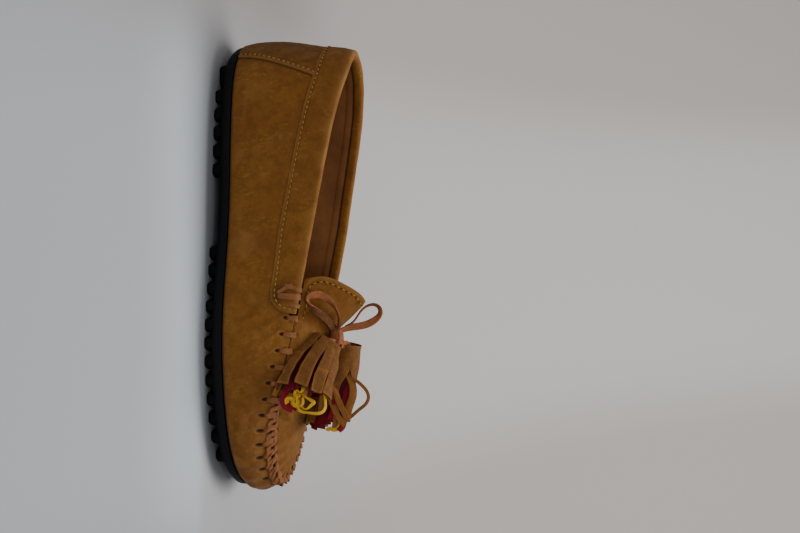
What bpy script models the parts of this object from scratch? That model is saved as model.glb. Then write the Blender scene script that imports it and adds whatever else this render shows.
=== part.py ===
"""Tassel moccasin loafer for the right foot, standing on its sole.

+X points to the toe, +Y to the inner (medial) side of the foot, +Z up. The origin is on the floor, under the
middle of the shoe. The tables and the sizes below are in millimetres, measured from the back of the heel and
from the foot's own long axis, and every mesh is moved to the origin and turned into metres by `place`.
"""

import bmesh
import bpy
import numpy as np
from mathutils import Vector

# Driving sizes
MM = 0.001
LENGTH = 245.0
AXIS_TO_ORIGIN = np.array([-122.3, 1.0, 0.0])
GAP = 0.3  # between two pieces that touch
LEATHER = 1.8  # the wall of the vamp, quarters, apron and tongue
SOLE_TOP = 11.0  # the feather line, where the upper meets the sole
FOOT_ENDS = (3.6, 240.8)  # where the feather line begins and ends along the shoe
TOP_ENDS = (8.6, 241.0)  # and the top line: the collar, then the seam round the toe
SPRING_FROM = 150.0
SPRING = 0.9  # how far the toe lifts
MARGIN = 7.0  # the upper's edge turned in under the foot

# The last, one row for each station along it: half widths to the outer and inner side at the feather line and
# at the top line, the top line's heights, how far the wall swells, and how late it curls in towards the top.
SECTION_NAMES = "station foot_outer foot_inner top_outer top_inner height_outer height_inner belly curl"
SECTIONS = np.array(
    [
        (0.00, 0.0, 0.0, 0.0, 0.0, 72.5, 72.5, 3.2, 1.0),
        (0.02, 14.0, 13.5, 9.4, 9.2, 72.5, 72.6, 3.2, 1.0),
        (0.06, 22.8, 22.0, 16.6, 16.4, 71.6, 72.2, 3.2, 1.0),
        (0.12, 27.8, 27.0, 22.6, 22.8, 68.8, 70.4, 3.1, 1.0),
        (0.20, 30.0, 29.0, 27.4, 27.0, 65.5, 67.3, 3.0, 1.0),
        (0.30, 30.8, 28.0, 29.6, 28.8, 61.4, 63.4, 2.6, 1.1),
        (0.40, 32.0, 27.5, 30.3, 29.0, 57.2, 60.0, 2.4, 1.2),
        (0.50, 35.5, 29.0, 30.5, 28.5, 53.2, 55.8, 2.4, 1.4),
        (0.60, 39.8, 32.8, 31.0, 29.5, 49.0, 50.5, 2.6, 1.8),
        (0.70, 41.5, 37.5, 30.0, 30.5, 43.5, 44.5, 3.0, 2.2),
        (0.78, 39.8, 39.0, 27.5, 30.5, 38.3, 40.7, 3.4, 2.4),
        (0.86, 35.2, 37.0, 22.5, 28.5, 33.5, 36.9, 3.8, 2.4),
        (0.93, 27.4, 31.6, 14.5, 23.5, 30.5, 34.0, 4.0, 2.2),
        (0.975, 15.8, 23.0, 6.0, 16.0, 29.8, 32.2, 4.0, 2.0),
        (1.00, -5.0, 5.0, -5.0, 5.0, 30.3, 30.3, 4.0, 2.0),
    ]
)
LAST = dict(zip(SECTION_NAMES.split(), SECTIONS.T))

# The apron and the tongue, one row for each section across, from the tongue's tip to the toe: where its two
# edges and its middle lie along the shoe, the middle's height, and how square its arch is.
APRON_NAMES = "edge middle crown arch"
APRON_ROWS = np.array(
    [
        (134.5, 145.2, 78.1, 1.65),
        (139.5, 150.0, 73.0, 1.75),
        (145.0, 155.0, 67.3, 1.90),
        (150.5, 159.6, 61.8, 2.00),
        (157.0, 164.4, 58.2, 2.10),
        (164.0, 169.6, 55.4, 2.20),
        (174.0, 177.2, 52.3, 2.30),
        (188.0, 189.0, 48.0, 2.30),
        (204.0, 204.0, 43.0, 2.30),
        (220.0, 220.0, 37.9, 2.30),
        (232.0, 232.0, 33.7, 2.30),
        (240.6, 240.6, 30.3, 2.30),
    ]
)
APRON = dict(zip(APRON_NAMES.split(), APRON_ROWS.T))
TUCKED_IN = 5.6  # how far inside the top line the tongue's edges lie, within the collar band
TUCKED_TO = 153.4
SEWN_FROM = 158.0  # from here on the apron is sewn to the vamp's top edge
TIP_FLARE = [(0.0, 0.4), (0.1, 2.5), (0.3, 5.2), (0.5, 6.6), (0.8, 6.0), (1.0, 0.5)]  # beside the middle, and how far
FLARE_TO = 152.0
FAR_FLARE = 0.3  # the tip's inner side curls less
SINK = 1.2  # the apron lies this much below the seam
SEAM_GAP = 0.5
APRON_TIP = 238.6

TURNS = 72  # sections round the upper
# The rows of one of its sections, outside and inside, as shares of its height
WALL_LEVELS = (0, 0.08, 0.22, 0.38, 0.54, 0.7, 0.84, 0.93, 1)
INSIDE_LEVELS = (0.16, 0.27, 0.4, 0.54, 0.7, 0.84, 0.93, 1)

# The outsole
SOLE_TURNS = 44  # sections round the sole and the insole
PLATE_BOTTOM = 5.0
FLANGE = 0.8
EDGE_HEIGHT = 4.2
EDGE_TUCK = 1.0
HEEL_LIFT = 2.6
HEEL_CURVE = 16.0
POD_WIDTH, POD_CUT = 8.4, 1.8
POD_TAPER = 0.9
POD_ROOT = 1.2  # how deep a pod's root sits in the plate
POD_INSET = 2.2
POD_PITCH_ACROSS = 12.0
# Where each row of pods begins and ends along the shoe: a long one at the back, the heel's, the forefoot's
POD_ROWS = [(14.3, 28.2), *((x, x + 9.2) for x in 29.2 + 10.1 * np.arange(5))]
POD_ROWS += [(x, x + 8.7) for x in 114.9 + 9.7 * np.arange(12)]
INSOLE = 2.4
INSOLE_INSET = 3.9  # from the upper's skin

# The collar band: an upturned U over the wall's edge
BAND_OVER = 3.4  # how far its roll stands above the wall inside it
BAND_END = 153.0
BAND_DEPTH = 17.1
BAND_RISE, BAND_RISE_FROM = 3.0, 110.0  # its lower edge rises towards its front end
BAND_INSIDE = 9.0
BAND_CORNER = 10.0  # the radius of its lower front corner
BAND_ROLL = (2.5, -3.9)  # how far the roll stands out of the skin, and into the shoe
BAND_STEP = (0.8, 2.2)  # the wall's edge, lower under the band, steps up this far in front of its end

# The backstay
COUNTER = 1.3
COUNTER_FRONT = (18.0, 27.0)  # its front edge along the shoe, at the sole and under the band
COUNTER_FOOT = 0.02  # its lower edge, as a share of the wall's height
COUNTER_UNDER = 0.5  # from the band's lower edge to it
COUNTER_ROWS, COUNTER_COLUMNS = 7, 13

# The lace
LACE = 1.2
LACE_WIDTH = 4.0
LACE_TUBE = 3.0  # the round solid that stands for a free stretch of it
STITCH_PITCH = 8.75
TOE_CLOSER = 0.2  # the stitches stand closer round the toe, from here to there
TOE_FROM, TOE_TO = 205.0, 230.0
STITCH_DEPTH = (4.0, 4.3, 4.6)  # from the seam to a hole in the vamp, at these places along the shoe
STITCH_DEPTH_AT = (151.0, 205.0, 238.0)
STITCHED_FROM = 151.0
SEAM_LACE = 0.45  # how far the lace over the seam stands off the wall
LANDING = (1.5, 2.6)  # how far inside the seam the lace reaches on the apron
KNOT = (163.6, -5.0, 63.0)
KNOT_HALF = (4.4, 3.0, 3.0)
TIE_PLACE = 142.0  # the lace's crossing on the band: along the shoe, and down from the top line
TIE_DOWN = 7.2
TIE_ARM = 6.6
TIE_FLAT = 0.8  # the crossing is wider than high


# The ways of the bow's free lengths of lace, from the knot
NEAR_LOOP = [(159.7, -6.5, 64.2), (154.0, -11.8, 66.2), (148.6, -17.4, 65.3), (143.8, -22.8, 61.6)]
NEAR_LOOP += [(142.4, -26.8, 56.9), (144.4, -28.4, 53.4), (148.8, -26.2, 55.0), (152.8, -20.8, 58.8)]
NEAR_LOOP += [(156.2, -14.8, 61.4), (159.7, -9.0, 61.7)]
FAR_LOOP = [(160.9, -2.6, 64.9), (159.4, 0.6, 70.2), (157.4, 3.2, 75.8), (154.2, 5.8, 80.6)]
FAR_LOOP += [(150.4, 8.4, 83.2), (147.0, 10.8, 81.6), (145.8, 12.2, 77.6), (147.6, 12.0, 73.4)]
FAR_LOOP += [(151.6, 9.6, 70.4), (156.0, 5.2, 67.8), (158.6, 1.6, 66.2)]
NEAR_END = [(166.8, -7.9, 62.4), (166.7, -8.9, 62.2), (166.5, -9.8, 62.0)]
FAR_END = [(167.4, -2.7, 64.8), (167.4, -1.2, 65.6), (167.1, 0.9, 66.3)]

# The tassels: where the rolled head starts, the middle of the open end, the head's radius, the open end's
# half sizes the long way and across it, and the long way itself
TASSEL_NAMES = "head end head_radius long short long_way"
TASSEL_STRIPS = 11
TASSELS = {
    "tassel_near": ((166.9, -12.8, 61.8), (203.4, -27.6, 49.2), 5.8, 13.2, 6.4, (-0.02, -0.53, -0.85)),
    "tassel_far": ((168.0, 6.4, 67.0), (210.8, 11.6, 51.8), 6.4, 9.8, 8.4, (0.1, -0.3, -0.95)),
}
# A tassel's sections, from the head to the open end and back into it: the share of its length, how far the
# head has grown into the open end, how much the section is taken in, how deep the slits are, and how ragged
ROW_NAMES = "share grown taken_in slit ragged"
TASSEL_ROWS = [
    (0.0, 0.0, 2.2, 0.0, 0.0),
    (0.05, 0.0, 0.0, 0.0, 0.0),
    (0.3, 0.5, 0.0, 0.3, 0.0),
    (0.62, 0.85, 0.0, 1.8, 0.4),
    (1.0, 1.0, 0.0, 3.0, 1.0),
    (1.0, 1.0, 1.7, 0.0, 1.0),
    (0.93, 1.0, 3.0, 0.0, 0.9),
]
RAGGED = 1.6  # the most that a strip is longer or shorter than the tassel
ARCHED_STRIP = [(184.0, 8.6, 64.0), (187.0, 8.2, 70.6), (192.0, 8.0, 76.2), (197.0, 8.2, 76.6)]
ARCHED_STRIP += [(203.0, 9.2, 70.4), (208.4, 10.8, 61.0)]
ARCHED_THICK, ARCHED_WIDE = 1.4, 4.0
ARCHED_FACING = (0.25, 0.9, 0.3)


def spline(at, knots, values, period=None):
    """A smooth curve through the values: closed on itself with a period, with free ends without one."""
    knots, values = np.asarray(knots, float), np.asarray(values, float)
    at = np.asarray(at, float)
    if period:
        reach = 4
        knots = np.concatenate([knots[-reach:] - period, knots, knots[:reach] + period])
        values = np.concatenate([values[-reach:], values, values[:reach]])
        at = at % period
    step = np.diff(knots)
    slope = np.diff(values) / step
    count = len(knots)
    system = np.eye(count)
    right = np.zeros(count)
    for i in range(1, count - 1):
        system[i, i - 1 : i + 2] = step[i - 1], 2 * (step[i - 1] + step[i]), step[i]
        right[i] = 6 * (slope[i] - slope[i - 1])
    bend = np.linalg.solve(system, right)
    i = np.clip(np.searchsorted(knots, at, side="right") - 1, 0, count - 2)
    t = at - knots[i]
    h = step[i]
    return (
        values[i]
        + t * (slope[i] - h * (2 * bend[i] + bend[i + 1]) / 6)
        + t**2 * bend[i] / 2
        + t**3 * (bend[i + 1] - bend[i]) / (6 * h)
    )


def round_foot(turn, outer, inner, sides=(1, 1)):
    """A column of the last's table round the shoe: the heel's back at 0, the outer side, the toe at pi."""
    station = np.arccos(1 - 2 * LAST["station"])
    knots = np.concatenate([station, 2 * np.pi - station[-2:0:-1]])
    values = np.concatenate([sides[0] * LAST[outer], sides[1] * LAST[inner][-2:0:-1]])
    return spline(turn, knots, values, 2 * np.pi)


def spring(x):
    return SPRING * np.clip((x - SPRING_FROM) / (LENGTH - SPRING_FROM), 0, 1) ** 1.5


def on_sole(points, above=0.0):
    """The same places along and across, at a height above the feather line."""
    x, y = points[..., 0], points[..., 1]
    return np.stack([x, y, SOLE_TOP + spring(x) + above], -1)


def foot_line(turn):
    """The feather line."""
    x = FOOT_ENDS[0] + (FOOT_ENDS[1] - FOOT_ENDS[0]) * (1 - np.cos(turn)) / 2
    y = round_foot(turn, "foot_outer", "foot_inner", (-1, 1))
    return np.stack([x, y, SOLE_TOP + spring(x)], -1)


def top_line(turn):
    """The collar's top, and in front of it the seam round the apron."""
    x = TOP_ENDS[0] + (TOP_ENDS[1] - TOP_ENDS[0]) * (1 - np.cos(turn)) / 2
    y = round_foot(turn, "top_outer", "top_inner", (-1, 1))
    return np.stack([x, y, round_foot(turn, "height_outer", "height_inner")], -1)


def unit(vectors):
    return vectors / np.linalg.norm(vectors, axis=-1, keepdims=True)


def outward(turn):
    """The level direction out of the shoe at the feather line."""
    along = foot_line(turn + 1e-3) - foot_line(turn - 1e-3)
    return unit(np.stack([along[..., 1], -along[..., 0], 0 * along[..., 0]], -1))


def skin(turn, rise):
    """The outside of the upper: rise is 0 at the sole and 1 at the top line."""
    turn, rise = np.broadcast_arrays(np.asarray(turn, float), np.asarray(rise, float))
    foot, top = foot_line(turn), top_line(turn)
    leant = rise ** round_foot(turn, "curl", "curl")
    swell = round_foot(turn, "belly", "belly") * 6.75 * rise * (1 - rise) ** 2
    blend = np.stack([leant, leant, rise], -1)
    return foot + (top - foot) * blend + outward(turn) * swell[..., None]


def skin_frame(turn, rise):
    """The skin's normal and its direction towards the top."""
    turn, rise = np.broadcast_arrays(np.asarray(turn, float), np.asarray(rise, float))
    step = 1e-3
    rise = np.clip(rise, step, 1 - step)
    up = skin(turn, rise + step) - skin(turn, rise - step)
    along = skin(turn + step, rise) - skin(turn - step, rise)
    return unit(np.cross(along, up)), unit(up)


def wall(turn, rise, out=0.0):
    """A point so many millimetres outside the upper's skin."""
    return skin(turn, rise) + skin_frame(turn, rise)[0] * np.asarray(out, float)[..., None]


def below_top(turn, down):
    """The rise that lies so many millimetres under the top line."""
    height = top_line(turn)[..., 2] - foot_line(turn)[..., 2]
    return 1 - down / height


def turn_at(x, ends=TOP_ENDS):
    """How far round the outer side a place along the shoe is; the inner side has minus that."""
    return np.arccos(1 - 2 * (np.asarray(x, float) - ends[0]) / (ends[1] - ends[0]))


SEAM_TURNS = np.linspace(0, 2 * np.pi, 721)
SEAM = top_line(SEAM_TURNS)


def seam_near(point):
    """How far a point lies inside the seam, and how far round the nearest place of the seam is."""
    away = np.linalg.norm(SEAM[:, :2] - point[:2], axis=1)
    return away.min(), SEAM_TURNS[away.argmin()]


def sewn_share(edge):
    """0 where the apron's edges are tucked in, 1 where they are sewn."""
    return np.clip((edge - TUCKED_TO) / (SEWN_FROM - TUCKED_TO), 0, 1)


def apron_edge(edge, side):
    """The apron's edge at a place along the shoe; side is -1 or 1."""
    turn = -side * turn_at(np.minimum(edge, TOP_ENDS[1] - 0.1))
    sewn = top_line(turn) + skin_frame(turn, 1.0)[1] * SEAM_GAP
    tucked = np.array([edge, sewn[1] - side * TUCKED_IN, sewn[2] - 1.0])
    return tucked + (sewn - tucked) * sewn_share(edge)


def tip_flare(edge, across):
    """How much further back than its row a point of the tongue's rounded tip reaches."""
    share = np.clip((FLARE_TO - edge) / (FLARE_TO - APRON["edge"][0]), 0, 1) ** 2
    return share * spline(abs(across), *zip(*TIP_FLARE)) * (FAR_FLARE if across > 0 else 1)


def apron(edge, across):
    """The top of the apron and tongue: across runs from -1 at the outer edge to 1 at the inner one."""
    outer, inner = apron_edge(edge, -1), apron_edge(edge, 1)
    middle, crown, arch = (spline(edge, APRON["edge"], APRON[k]) for k in ("middle", "crown", "arch"))
    point = outer + (inner - outer) * (across + 1) / 2
    point[0] += (middle - edge) * (1 - across**2) - tip_flare(edge, across)
    point[2] += (crown - (outer[2] + inner[2]) / 2) * (1 - abs(across) ** arch)
    from_seam = seam_near(point)[0]
    point[2] -= SINK * sewn_share(edge) * (1 - np.exp(-((from_seam / 2.2) ** 2))) * np.exp(-from_seam / 12)
    return point


# Making meshes


def place(points):
    return (np.asarray(points, float) + AXIS_TO_ORIGIN) * MM


def material(name, colour, roughness):
    made = bpy.data.materials.new(name)
    made.use_nodes = True
    shader = made.node_tree.nodes["Principled BSDF"]
    shader.inputs["Base Color"].default_value = (*colour, 1)
    shader.inputs["Roughness"].default_value = roughness
    shader.inputs["Metallic"].default_value = 0.0
    made.diffuse_color = (*colour, 1)
    return made


def body(name, points, faces, finish):
    """One closed piece from points in millimetres; points that coincide become one."""
    mesh = bpy.data.meshes.new(name)
    mesh.from_pydata(place(points).tolist(), [], faces)
    bm = bmesh.new()
    bm.from_mesh(mesh)
    bmesh.ops.remove_doubles(bm, verts=bm.verts, dist=1e-6)
    bmesh.ops.recalc_face_normals(bm, faces=bm.faces)
    if bm.calc_volume(signed=True) < 0:
        bmesh.ops.reverse_faces(bm, faces=bm.faces)
    bm.to_mesh(mesh)
    bm.free()
    mesh.materials.append(finish)
    mesh.shade_smooth()
    mesh.set_sharp_from_angle(angle=0.6)
    made = bpy.data.objects.new(name, mesh)
    bpy.context.scene.collection.objects.link(made)
    return made


def grid_faces(rows, columns, wrap_rows=False, wrap_columns=False, start=0):
    """Four-sided faces between the points of a grid."""
    faces = []
    for i in range(rows if wrap_rows else rows - 1):
        for j in range(columns if wrap_columns else columns - 1):
            below, beside = (i + 1) % rows, (j + 1) % columns
            corners = (i, j), (below, j), (below, beside), (i, beside)
            faces.append([start + row * columns + column for row, column in corners])
    return faces


def swept(name, sections, finish, closed=False):
    """Closed outlines joined one after another, into a ring or with both ends shut."""
    rows, columns = sections.shape[:2]
    faces = grid_faces(rows, columns, wrap_rows=closed, wrap_columns=True)
    if not closed:
        faces.append(list(range(columns))[::-1])
        faces.append([(rows - 1) * columns + j for j in range(columns)])
    return body(name, sections.reshape(-1, 3), faces, finish)


def leaf(name, top, bottom, finish):
    """A sheet between a grid of points above and one below."""
    rows, columns = top.shape[:2]
    count = rows * columns
    faces = grid_faces(rows, columns)
    faces += [[count + k for k in face[::-1]] for face in grid_faces(rows, columns)]
    rim = [(0, j) for j in range(columns)] + [(i, columns - 1) for i in range(1, rows)]
    rim += [(rows - 1, j) for j in range(columns - 2, -1, -1)] + [(i, 0) for i in range(rows - 2, 0, -1)]
    rim = [i * columns + j for i, j in rim]
    for here, there in zip(rim, rim[1:] + rim[:1]):
        faces.append([there, here, count + here, count + there])
    return body(name, np.concatenate([top.reshape(-1, 3), bottom.reshape(-1, 3)]), faces, finish)


def plate(name, rings, finish):
    """A flat piece from rings that start and end on its own middle line."""
    rings = np.asarray(rings)
    return body(name, rings.reshape(-1, 3), grid_faces(*rings.shape[:2], wrap_columns=True), finish)


# The pieces


def make_upper(finish):
    """Vamp and quarters: one wall round the foot, open above, turned in under the foot."""
    turn = np.arange(TURNS) * 2 * np.pi / TURNS
    step = turn_at(BAND_END + np.array(BAND_STEP))
    turn = np.sort(np.concatenate([turn, step, 2 * np.pi - step]))
    lowered = BAND_OVER * (top_line(turn)[:, 0] < BAND_END + np.mean(BAND_STEP))
    top = below_top(turn, lowered)
    outside = [wall(turn, top * level, 0 * turn) for level in WALL_LEVELS[::-1]]
    inside = [wall(turn, top * level, 0 * turn - LEATHER) for level in INSIDE_LEVELS]
    under = on_sole(foot_line(turn) - outward(turn) * MARGIN)
    over = on_sole(under, LEATHER)
    corner = on_sole(foot_line(turn) - outward(turn) * (LEATHER * 0.75), LEATHER)
    sections = np.stack([*outside, under, over, corner, *inside], 1)
    return swept("upper", sections, finish, closed=True)


def middle_line(turn, z):
    """The points on the sole's middle line that belong to the points of its outline."""
    line = foot_line(turn)
    across = foot_line(-turn)
    half = (line[:, :2] + across[:, :2]) / 2
    x = np.clip(half[:, 0], 26, 214)
    y = np.interp(x, half[:, 0][: SOLE_TURNS // 2 + 1], half[:, 1][: SOLE_TURNS // 2 + 1])
    return np.stack([x, y, z(x)], -1)


def towards_middle(outline, middle, share):
    return outline + (middle - outline) * share


def make_insole(finish):
    """The footbed, on the upper's turned-in margin."""
    turn = np.arange(SOLE_TURNS) * 2 * np.pi / SOLE_TURNS
    base = LEATHER + GAP + 0.1

    def edge(level):
        rise = level / (top_line(turn)[:, 2] - foot_line(turn)[:, 2])
        return skin(turn, rise) - outward(turn) * INSOLE_INSET

    low, high = edge(base), edge(base + INSOLE)
    under = middle_line(turn, lambda x: SOLE_TOP + spring(x) + base)
    over = middle_line(turn, lambda x: SOLE_TOP + spring(x) + base + INSOLE)
    rings = [over, towards_middle(high, over, 0.5), high, low, towards_middle(low, under, 0.5), under]
    return plate("insole", rings, finish)


def make_outsole(finish):
    """The rubber plate with its rounded edge, and the pods that it stands on."""
    turn = np.arange(SOLE_TURNS) * 2 * np.pi / SOLE_TURNS
    line, out = foot_line(turn), outward(turn)
    x = line[:, 0]
    heel_lift = HEEL_LIFT * np.clip(1 - x / HEEL_CURVE, 0, 1) ** 2

    def ring(inset, z):
        moved = line - out * np.asarray(inset)[..., None]
        moved[:, 2] = z + spring(x)
        return moved

    top = SOLE_TOP - GAP
    tuck = EDGE_TUCK + 3.5 * (heel_lift / HEEL_LIFT) + 1.0 * np.clip((x - 225) / 20, 0, 1)
    outline = ring(0 * x - FLANGE, top)
    side = ring(0 * x - FLANGE, top - EDGE_HEIGHT)
    bottom = ring(tuck, PLATE_BOTTOM + heel_lift)
    over = middle_line(turn, lambda at: top + spring(at))
    under = middle_line(turn, lambda at: PLATE_BOTTOM + spring(at))
    rings = [over, towards_middle(outline, over, 0.45), outline, side, bottom]
    rings += [towards_middle(bottom, under, 0.4), under]
    sole = plate("outsole", rings, finish)
    pods = body("pods", *pod_shapes(), finish)
    pods.hide_render = True
    pods.display_type = "WIRE"
    join = sole.modifiers.new("Pods", "BOOLEAN")
    join.operation = "UNION"
    join.solver = "EXACT"
    join.object = pods
    return sole


def pod_shapes():
    """Every pod: a six-sided stud, narrower at the floor."""
    points, faces = [], []
    half_y = POD_WIDTH / 2
    for start, stop in POD_ROWS:
        x, half_x = (start + stop) / 2, (stop - start) / 2
        shape = [(half_x, 0), (half_x - POD_CUT, half_y), (POD_CUT - half_x, half_y)]
        shape += [(-a, -b) for a, b in shape]
        spans = []
        for end in (start, stop):
            turn = turn_at(end, FOOT_ENDS)
            spans.append((foot_line(np.array(turn))[1], foot_line(np.array(-turn))[1]))
        low = max(s[0] for s in spans) + POD_INSET + half_y
        high = min(s[1] for s in spans) - POD_INSET - half_y
        count = max(1, 1 + int((high - low) / POD_PITCH_ACROSS))
        for y in np.linspace(low, high, count) if count > 1 else [(low + high) / 2]:
            first = len(points)
            for z, grown in ((PLATE_BOTTOM + POD_ROOT, 1.0), (0.0, POD_TAPER)):
                points += [(x + grown * a, y + grown * b, z + spring(x)) for a, b in shape]
            sides = len(shape)
            faces.append([first + k for k in range(sides)])
            faces.append([first + sides + k for k in range(sides)][::-1])
            for k in range(sides):
                beside = (k + 1) % sides
                faces.append([first + k, first + sides + k, first + sides + beside, first + beside])
    return points, faces


def make_apron(finish):
    """Apron and tongue, one sheet from the toe to the tongue's tip."""
    sewn = np.arange(1, TURNS // 2) * 2 * np.pi / TURNS
    sewn = top_line(sewn)[:, 0]
    edges = [*APRON["edge"][:4], *sewn[sewn > TUCKED_TO][:-2], APRON_TIP]
    across = np.array([-1, -0.93, -0.82, -0.64, -0.43, -0.22, 0, 0.22, 0.43, 0.64, 0.82, 0.93, 1])
    top = np.array([[apron(edge, w) for w in across] for edge in edges])
    along = np.gradient(top, axis=0)
    sideways = np.gradient(top, axis=1)
    thick = unit(np.cross(along, sideways))
    for i, edge in enumerate(edges):
        for j in range(len(across)):
            away, turn = seam_near(top[i, j])
            share = sewn_share(edge) * np.exp(-((away / 3) ** 2))
            thick[i, j] += (skin_frame(turn, 1.0)[0] - thick[i, j]) * share
    return leaf("plug_tongue", top, top - unit(thick) * LEATHER, finish)


def make_collar_cuff(finish):
    """The leather band rolled over the quarters' top edge, open in front of the tongue."""
    side = np.arange(1, TURNS // 2) * 2 * np.pi / TURNS
    side = side[top_line(side)[:, 0] < BAND_END - BAND_CORNER / 2]
    front = turn_at(BAND_END - BAND_CORNER * np.array([0.32, 0.12, 0.0]))
    side = np.concatenate([side, front])
    turn = np.concatenate([-side[::-1], [0], side])
    x = top_line(turn)[:, 0]
    into_corner = np.clip((x - BAND_END) / BAND_CORNER + 1, 0, 1)
    corner = BAND_CORNER * (1 - np.sqrt(1 - into_corner**2))
    rise = BAND_RISE * np.clip((x - BAND_RISE_FROM) / (BAND_END - BAND_RISE_FROM), 0, 1)
    depth = BAND_DEPTH - corner - rise
    outer, inner = BAND_ROLL
    hollow = BAND_OVER - GAP
    lined = -LEATHER - GAP
    over_hollow = depth - hollow
    # Out of the skin and down from the top line: the outside, the roll, the inside and the wall's slot
    profile = [(outer - 0.9, depth), (outer - 0.5, depth * 0.8), (outer - 0.1, depth * 0.5)]
    profile += [(outer, depth * 0.28), (outer - 0.3, depth * 0.12), (1.2, 0.4), (-0.9, 0.0)]
    profile += [(-2.9, 0.5), (inner, 2.6), (inner + 0.2, 6.0), (inner + 0.5, BAND_INSIDE)]
    profile += [(lined, BAND_INSIDE), (lined, hollow), (GAP, hollow)]
    profile += [(GAP, hollow + over_hollow / 3), (GAP, hollow + over_hollow * 2 / 3), (GAP, depth)]
    sections = [wall(turn, below_top(turn, down), out + 0 * turn) for out, down in profile]
    return swept("collar_cuff", np.stack(sections, 1), finish)


def make_heel_counter(finish):
    """The backstay over the heel's back, up to the collar band."""
    low, high = (turn_at(x) for x in COUNTER_FRONT)
    share = np.linspace(0, 1, COUNTER_ROWS)[:, None]
    turn = np.linspace(-1, 1, COUNTER_COLUMNS) * (low + (high - low) * share)
    rise = COUNTER_FOOT + (below_top(turn, BAND_DEPTH + COUNTER_UNDER) - COUNTER_FOOT) * share
    inner, outer = (wall(turn, rise, out + 0 * turn) for out in (GAP, GAP + COUNTER))
    return leaf("heel_counter", outer, inner, finish)


def cells(name, inner, outer, filled, finish):
    """The filled cells of a grid, as one piece between an inner and an outer surface."""
    rows, columns = inner.shape[:2]
    count = rows * columns
    faces = []
    for i, j in zip(*np.nonzero(filled)):
        corners = [(i, j), (i + 1, j), (i + 1, j + 1), (i, j + 1)]
        ring = [a * columns + b for a, b in corners]
        faces.append([count + k for k in ring])
        faces.append(ring[::-1])
        beside = [(i, j - 1), (i + 1, j), (i, j + 1), (i - 1, j)]
        for k, (a, b) in enumerate(beside):
            if 0 <= a < filled.shape[0] and 0 <= b < filled.shape[1] and filled[a, b]:
                continue
            here, there = ring[k], ring[(k + 1) % 4]
            faces.append([here, there, count + there, count + here])
    points = np.concatenate([inner.reshape(-1, 3), outer.reshape(-1, 3)])
    used = sorted({k for face in faces for k in face})
    number = {k: n for n, k in enumerate(used)}
    return body(name, points[used], [[number[k] for k in face] for face in faces], finish)


def apron_over(point):
    """The height of the apron at a place near the seam."""
    edge, across = point[0], 0.0
    for _ in range(4):
        outer, inner = apron_edge(edge, -1), apron_edge(edge, 1)
        across = np.clip((2 * point[1] - outer[1] - inner[1]) / (inner[1] - outer[1]), -1, 1)
        bowed = spline(edge, APRON["edge"], APRON["middle"]) - edge
        edge = min(point[0] - bowed * (1 - across**2), APRON_TIP)
    return apron(edge, across)[2]


def seam_turns():
    """Both edges of each whip stitch round the seam: even stitches, which stand closer round the toe."""
    first = turn_at(STITCHED_FROM)
    fine = np.linspace(first, 2 * np.pi - first, 400)
    line = top_line(fine)
    along = np.concatenate([[0], np.cumsum(np.linalg.norm(np.diff(line, axis=0), axis=1))])
    closer = 1 + TOE_CLOSER * np.clip((line[:, 0] - TOE_FROM) / (TOE_TO - TOE_FROM), 0, 1)
    stitches = np.concatenate([[0], np.cumsum(np.diff(along) * (closer[1:] + closer[:-1]) / 2)])
    count = int(stitches[-1] / STITCH_PITCH)
    middles = np.interp((np.arange(count) + 0.5) / count * stitches[-1], stitches, along)
    return [np.interp(middles + shift, along, fine) for shift in (-LACE_WIDTH / 2, LACE_WIDTH / 2)]


def over_seam(turn, out):
    """The way of a whip stitch from its hole in the vamp over the seam onto the apron."""
    top = top_line(turn)
    depth = np.interp(top[0], STITCH_DEPTH_AT, STITCH_DEPTH)
    path = [wall(turn, below_top(turn, depth * share), np.array(out)) for share in (1, 0.55, 0.15)]
    normal, up = skin_frame(turn, 1.0)
    path.append(top + unit(normal + 1.6 * up) * (out + 0.35))
    along = top_line(turn + 1e-3) - top
    inward = unit(np.array([-along[1], along[0], 0]))
    for reach in LANDING:
        landing = top + inward * reach
        landing[2] = apron_over(landing) + GAP + out
        path.append(landing)
    return path


def make_whip_lace(finish):
    """The lace over the seam: a stitch every few millimetres, joined by the lace that lies in the seam."""
    edges = np.sort(np.concatenate(seam_turns()))
    faces = SEAM_LACE, SEAM_LACE + LACE
    inner, outer = (np.array([over_seam(turn, out) for turn in edges]) for out in faces)
    filled = np.zeros((len(edges) - 1, inner.shape[1] - 1), bool)
    filled[::2] = True
    filled[:, 2] = True
    return cells("whip_lace", inner, outer, filled, finish)


def make_tie(name, side, finish):
    """The lace's crossing on the band's front end; side is -1 or 1."""
    half = LACE_WIDTH / 2
    steps = np.array([-TIE_ARM, -half, half, TIE_ARM])
    first, second = np.meshgrid(steps, steps, indexing="ij")
    x = TIE_PLACE + (first - second) / np.sqrt(2)
    down = TIE_DOWN + (first + second) / np.sqrt(2) * TIE_FLAT
    turn = -side * turn_at(x)
    rise = below_top(turn, np.clip(down, 0.2, None))
    filled = np.zeros((3, 3), bool)
    filled[1] = filled[:, 1] = True
    clear = BAND_ROLL[0] + SEAM_LACE
    inner, outer = (wall(turn, rise, out + 0 * turn) for out in (clear, clear + LACE))
    return cells(name, inner, outer, filled, finish)


def route(points, spacing=2.5 * LACE_TUBE):
    """Even points on a smooth curve through a cord's own points."""
    points = np.array(points, float)
    along = np.concatenate([[0], np.cumsum(np.linalg.norm(np.diff(points, axis=0), axis=1))])
    count = max(3, int(along[-1] / spacing) + 1)
    at = np.linspace(0, along[-1], count)
    return np.stack([spline(at, along, points[:, k]) for k in range(3)], 1)


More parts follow.
